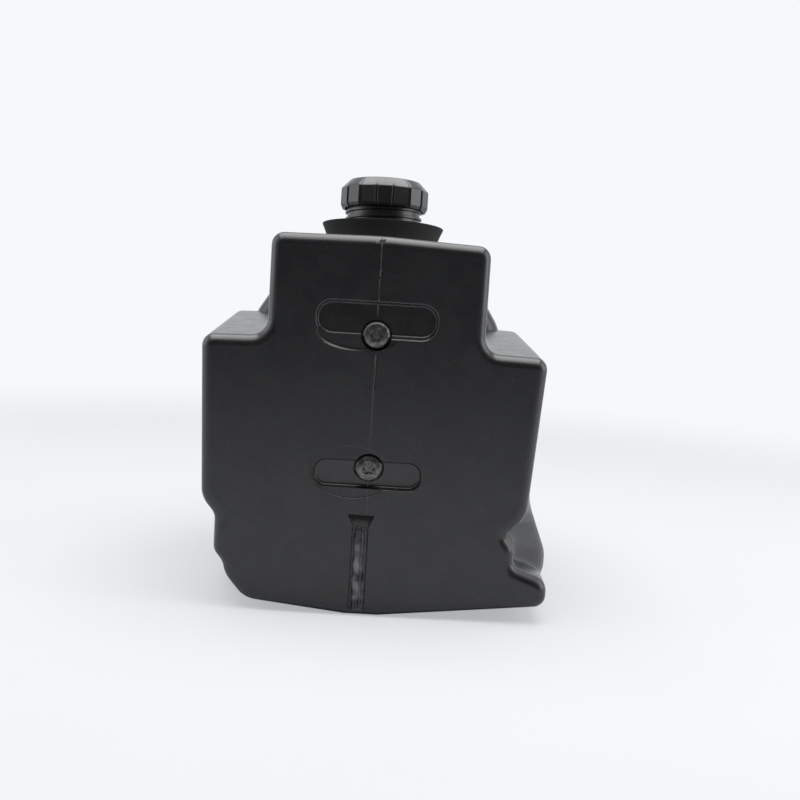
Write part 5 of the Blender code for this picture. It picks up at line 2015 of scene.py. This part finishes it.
@dataclass(frozen=True)
class Lamp:
    """A soft rectangular lamp, which lights matt surfaces too or is only seen in reflections."""

    name: str
    place: Point
    width: float
    tall: float
    power: float
    matt: bool = True
    aim: Point = (0.0, 0.0, 0.15)

    def build(self) -> None:
        """Hangs the lamp."""
        data = bpy.data.lights.new(self.name, "AREA")
        data.shape = "RECTANGLE"
        data.size = self.width
        data.size_y = self.tall
        data.energy = self.power
        made = bpy.data.objects.new(self.name, data)
        made.location = self.place
        made.rotation_euler = (Vector(self.aim) - Vector(self.place)).to_track_quat("-Z", "Y").to_euler()
        made.visible_diffuse = self.matt
        bpy.context.scene.collection.objects.link(made)
        made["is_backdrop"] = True


@dataclass
class Studio:
    """A white floor that fades into white surroundings, soft lamps and the camera."""

    floor_half: float = 1.5
    fade_start: float = 0.45
    fade_end: float = 1.3
    floor_colour: Colour = (0.86, 0.87, 0.89)
    floor_second: Colour = (0.83, 0.84, 0.86)
    floor_spot: float = 0.2
    floor_detail: float = 3.0
    floor_glow: float = 0.45
    backdrop: Colour = (0.92, 0.94, 0.97)
    ambient: float = 0.33
    front: float = 0.1
    front_ends: Flat = (-0.8, -0.15)
    lamps: tuple[Lamp, ...] = (
        Lamp("top lamp", (0.0, -0.1, 1.7), 1.9, 1.9, 26.0),
        Lamp("right lamp", (1.2, -0.15, 0.6), 0.8, 1.1, 5.0),
        Lamp("left lamp", (-1.2, 0.05, 0.6), 0.8, 1.1, 3.0),
        Lamp("sheen lamp", (0.0, 0.15, 1.6), 1.9, 1.3, 15.0, matt=False),
    )
    lens: float = 63.9
    sensor: float = 36.0
    camera_place: Point = (-0.0013, -1.2516, 0.3382)
    camera_turn: Point = (82.025, -3.528, -0.68)

    def floor(self) -> None:
        """Lays the floor, which takes shadows and fades out for the camera towards its rim."""
        form = Form()
        bmesh.ops.create_grid(form.bm, x_segments=1, y_segments=1, size=self.floor_half)
        made = form.piece("floor")
        material = bpy.data.materials.new("studio floor")
        material.use_nodes = True
        nodes = Nodes(material.node_tree)
        spots = nodes.noise(self.floor_spot, self.floor_detail)
        paper = nodes.mixed(spots, self.floor_colour, self.floor_second)
        matt = nodes.node("ShaderNodeBsdfDiffuse", {}, {"Color": paper})
        glow = nodes.node("ShaderNodeEmission", {}, {"Color": (*self.backdrop, 1.0), "Strength": 1.0})
        where = nodes.coordinates("Object")
        far = nodes.node("ShaderNodeVectorMath", {"operation": "LENGTH"}, {0: where}, "Value")
        fade = far.between(self.fade_start, self.fade_end).greater(self.floor_glow) * nodes.ray("Camera")
        mix = nodes.node("ShaderNodeMixShader", {}, {0: fade, 1: matt, 2: glow})
        nodes.end("ShaderNodeOutputMaterial", mix)
        made.data.materials.append(material)
        made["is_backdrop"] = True

    def surroundings(self) -> None:
        """White to the camera and in reflections, but for a dark room in front; dimmer for matt surfaces."""
        world = bpy.data.worlds.new("studio")
        bpy.context.scene.world = world
        world.use_nodes = True
        nodes = Nodes(world.node_tree)
        way = nodes.coordinates("Generated")
        along = nodes.node("ShaderNodeSeparateXYZ", {}, {0: way}, "Y")
        mirrored = self.front + (1.0 - self.front) * along.between(*self.front_ends)
        shiny = nodes.ray("Glossy").greater(nodes.ray("Transmission"))
        level = self.ambient + shiny * (mirrored - self.ambient)
        inputs = {"Color": (*self.backdrop, 1.0), "Strength": nodes.ray("Camera").greater(level)}
        nodes.end("ShaderNodeOutputWorld", nodes.node("ShaderNodeBackground", {}, inputs))

    def camera(self) -> None:
        """Sets the camera in front of the bolted face."""
        data = bpy.data.cameras.new("camera")
        data.lens = self.lens
        data.sensor_width = self.sensor
        made = bpy.data.objects.new("camera", data)
        made.location = self.camera_place
        made.rotation_euler = Euler([math.radians(turn) for turn in self.camera_turn])
        bpy.context.scene.collection.objects.link(made)
        bpy.context.scene.camera = made

    def build(self) -> None:
        """Sets up the whole studio."""
        self.floor()
        self.surroundings()
        for lamp in self.lamps:
            lamp.build()
        self.camera()
        bpy.context.scene.view_settings.view_transform = "Standard"


def neck_matrix() -> Matrix:
    """The neck's frame, from the joint that the cap turns on."""
    joint = next(j for j in frame["joints"] if j["name"] == "cap_turn")
    lean = Vector((0.0, 0.0, 1.0)).rotation_difference(Vector(joint["axis"]))
    return Matrix.Translation(joint["pos_m"]) @ lean.to_matrix().to_4x4()


def save_sizes() -> None:
    """Works out the part's box and the visible pieces' box side by side."""
    boxes = {"cad": CAD_BOX, "visual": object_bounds()}
    plain = {name: [[float(v) for v in corner] for corner in box] for name, box in boxes.items()}


def main() -> None:
    """Builds the reservoir and its studio."""
    logging.basicConfig(level=logging.INFO, format="%(message)s")
    neck = neck_matrix()
    suction = Port("suction", -50 * MM, 62 * MM, 13 * MM)
    back = Port("return", 50 * MM, 178 * MM, 10 * MM)
    drain = Port("drain", 0.0, 36 * MM, 8 * MM)
    sight = Port("sight", 50 * MM, 104 * MM, 13 * MM)
    ports = (suction, back, drain, sight)
    tank = Tank(neck, ports)
    moulding = tank.build()
    PartingLine().build(moulding, neck, ports)
    tank.hollow(moulding)
    PinchFlash().build()
    FillerCap(neck).build()
    NeckCollar(neck).build()
    ButtonScrew("upper_screw", UPPER_POCKET).build()
    ButtonScrew("lower_screw", LOWER_POCKET).build()
    for port in ports:
        port.build()
    HoseFitting(suction).build()
    HoseFitting(back).build()
    DrainPlug(drain).build()
    SightGlass(sight).build()
    KeptNodes().build()
    Studio().build()
    save_sizes()


if __name__ == "__main__":
    main()
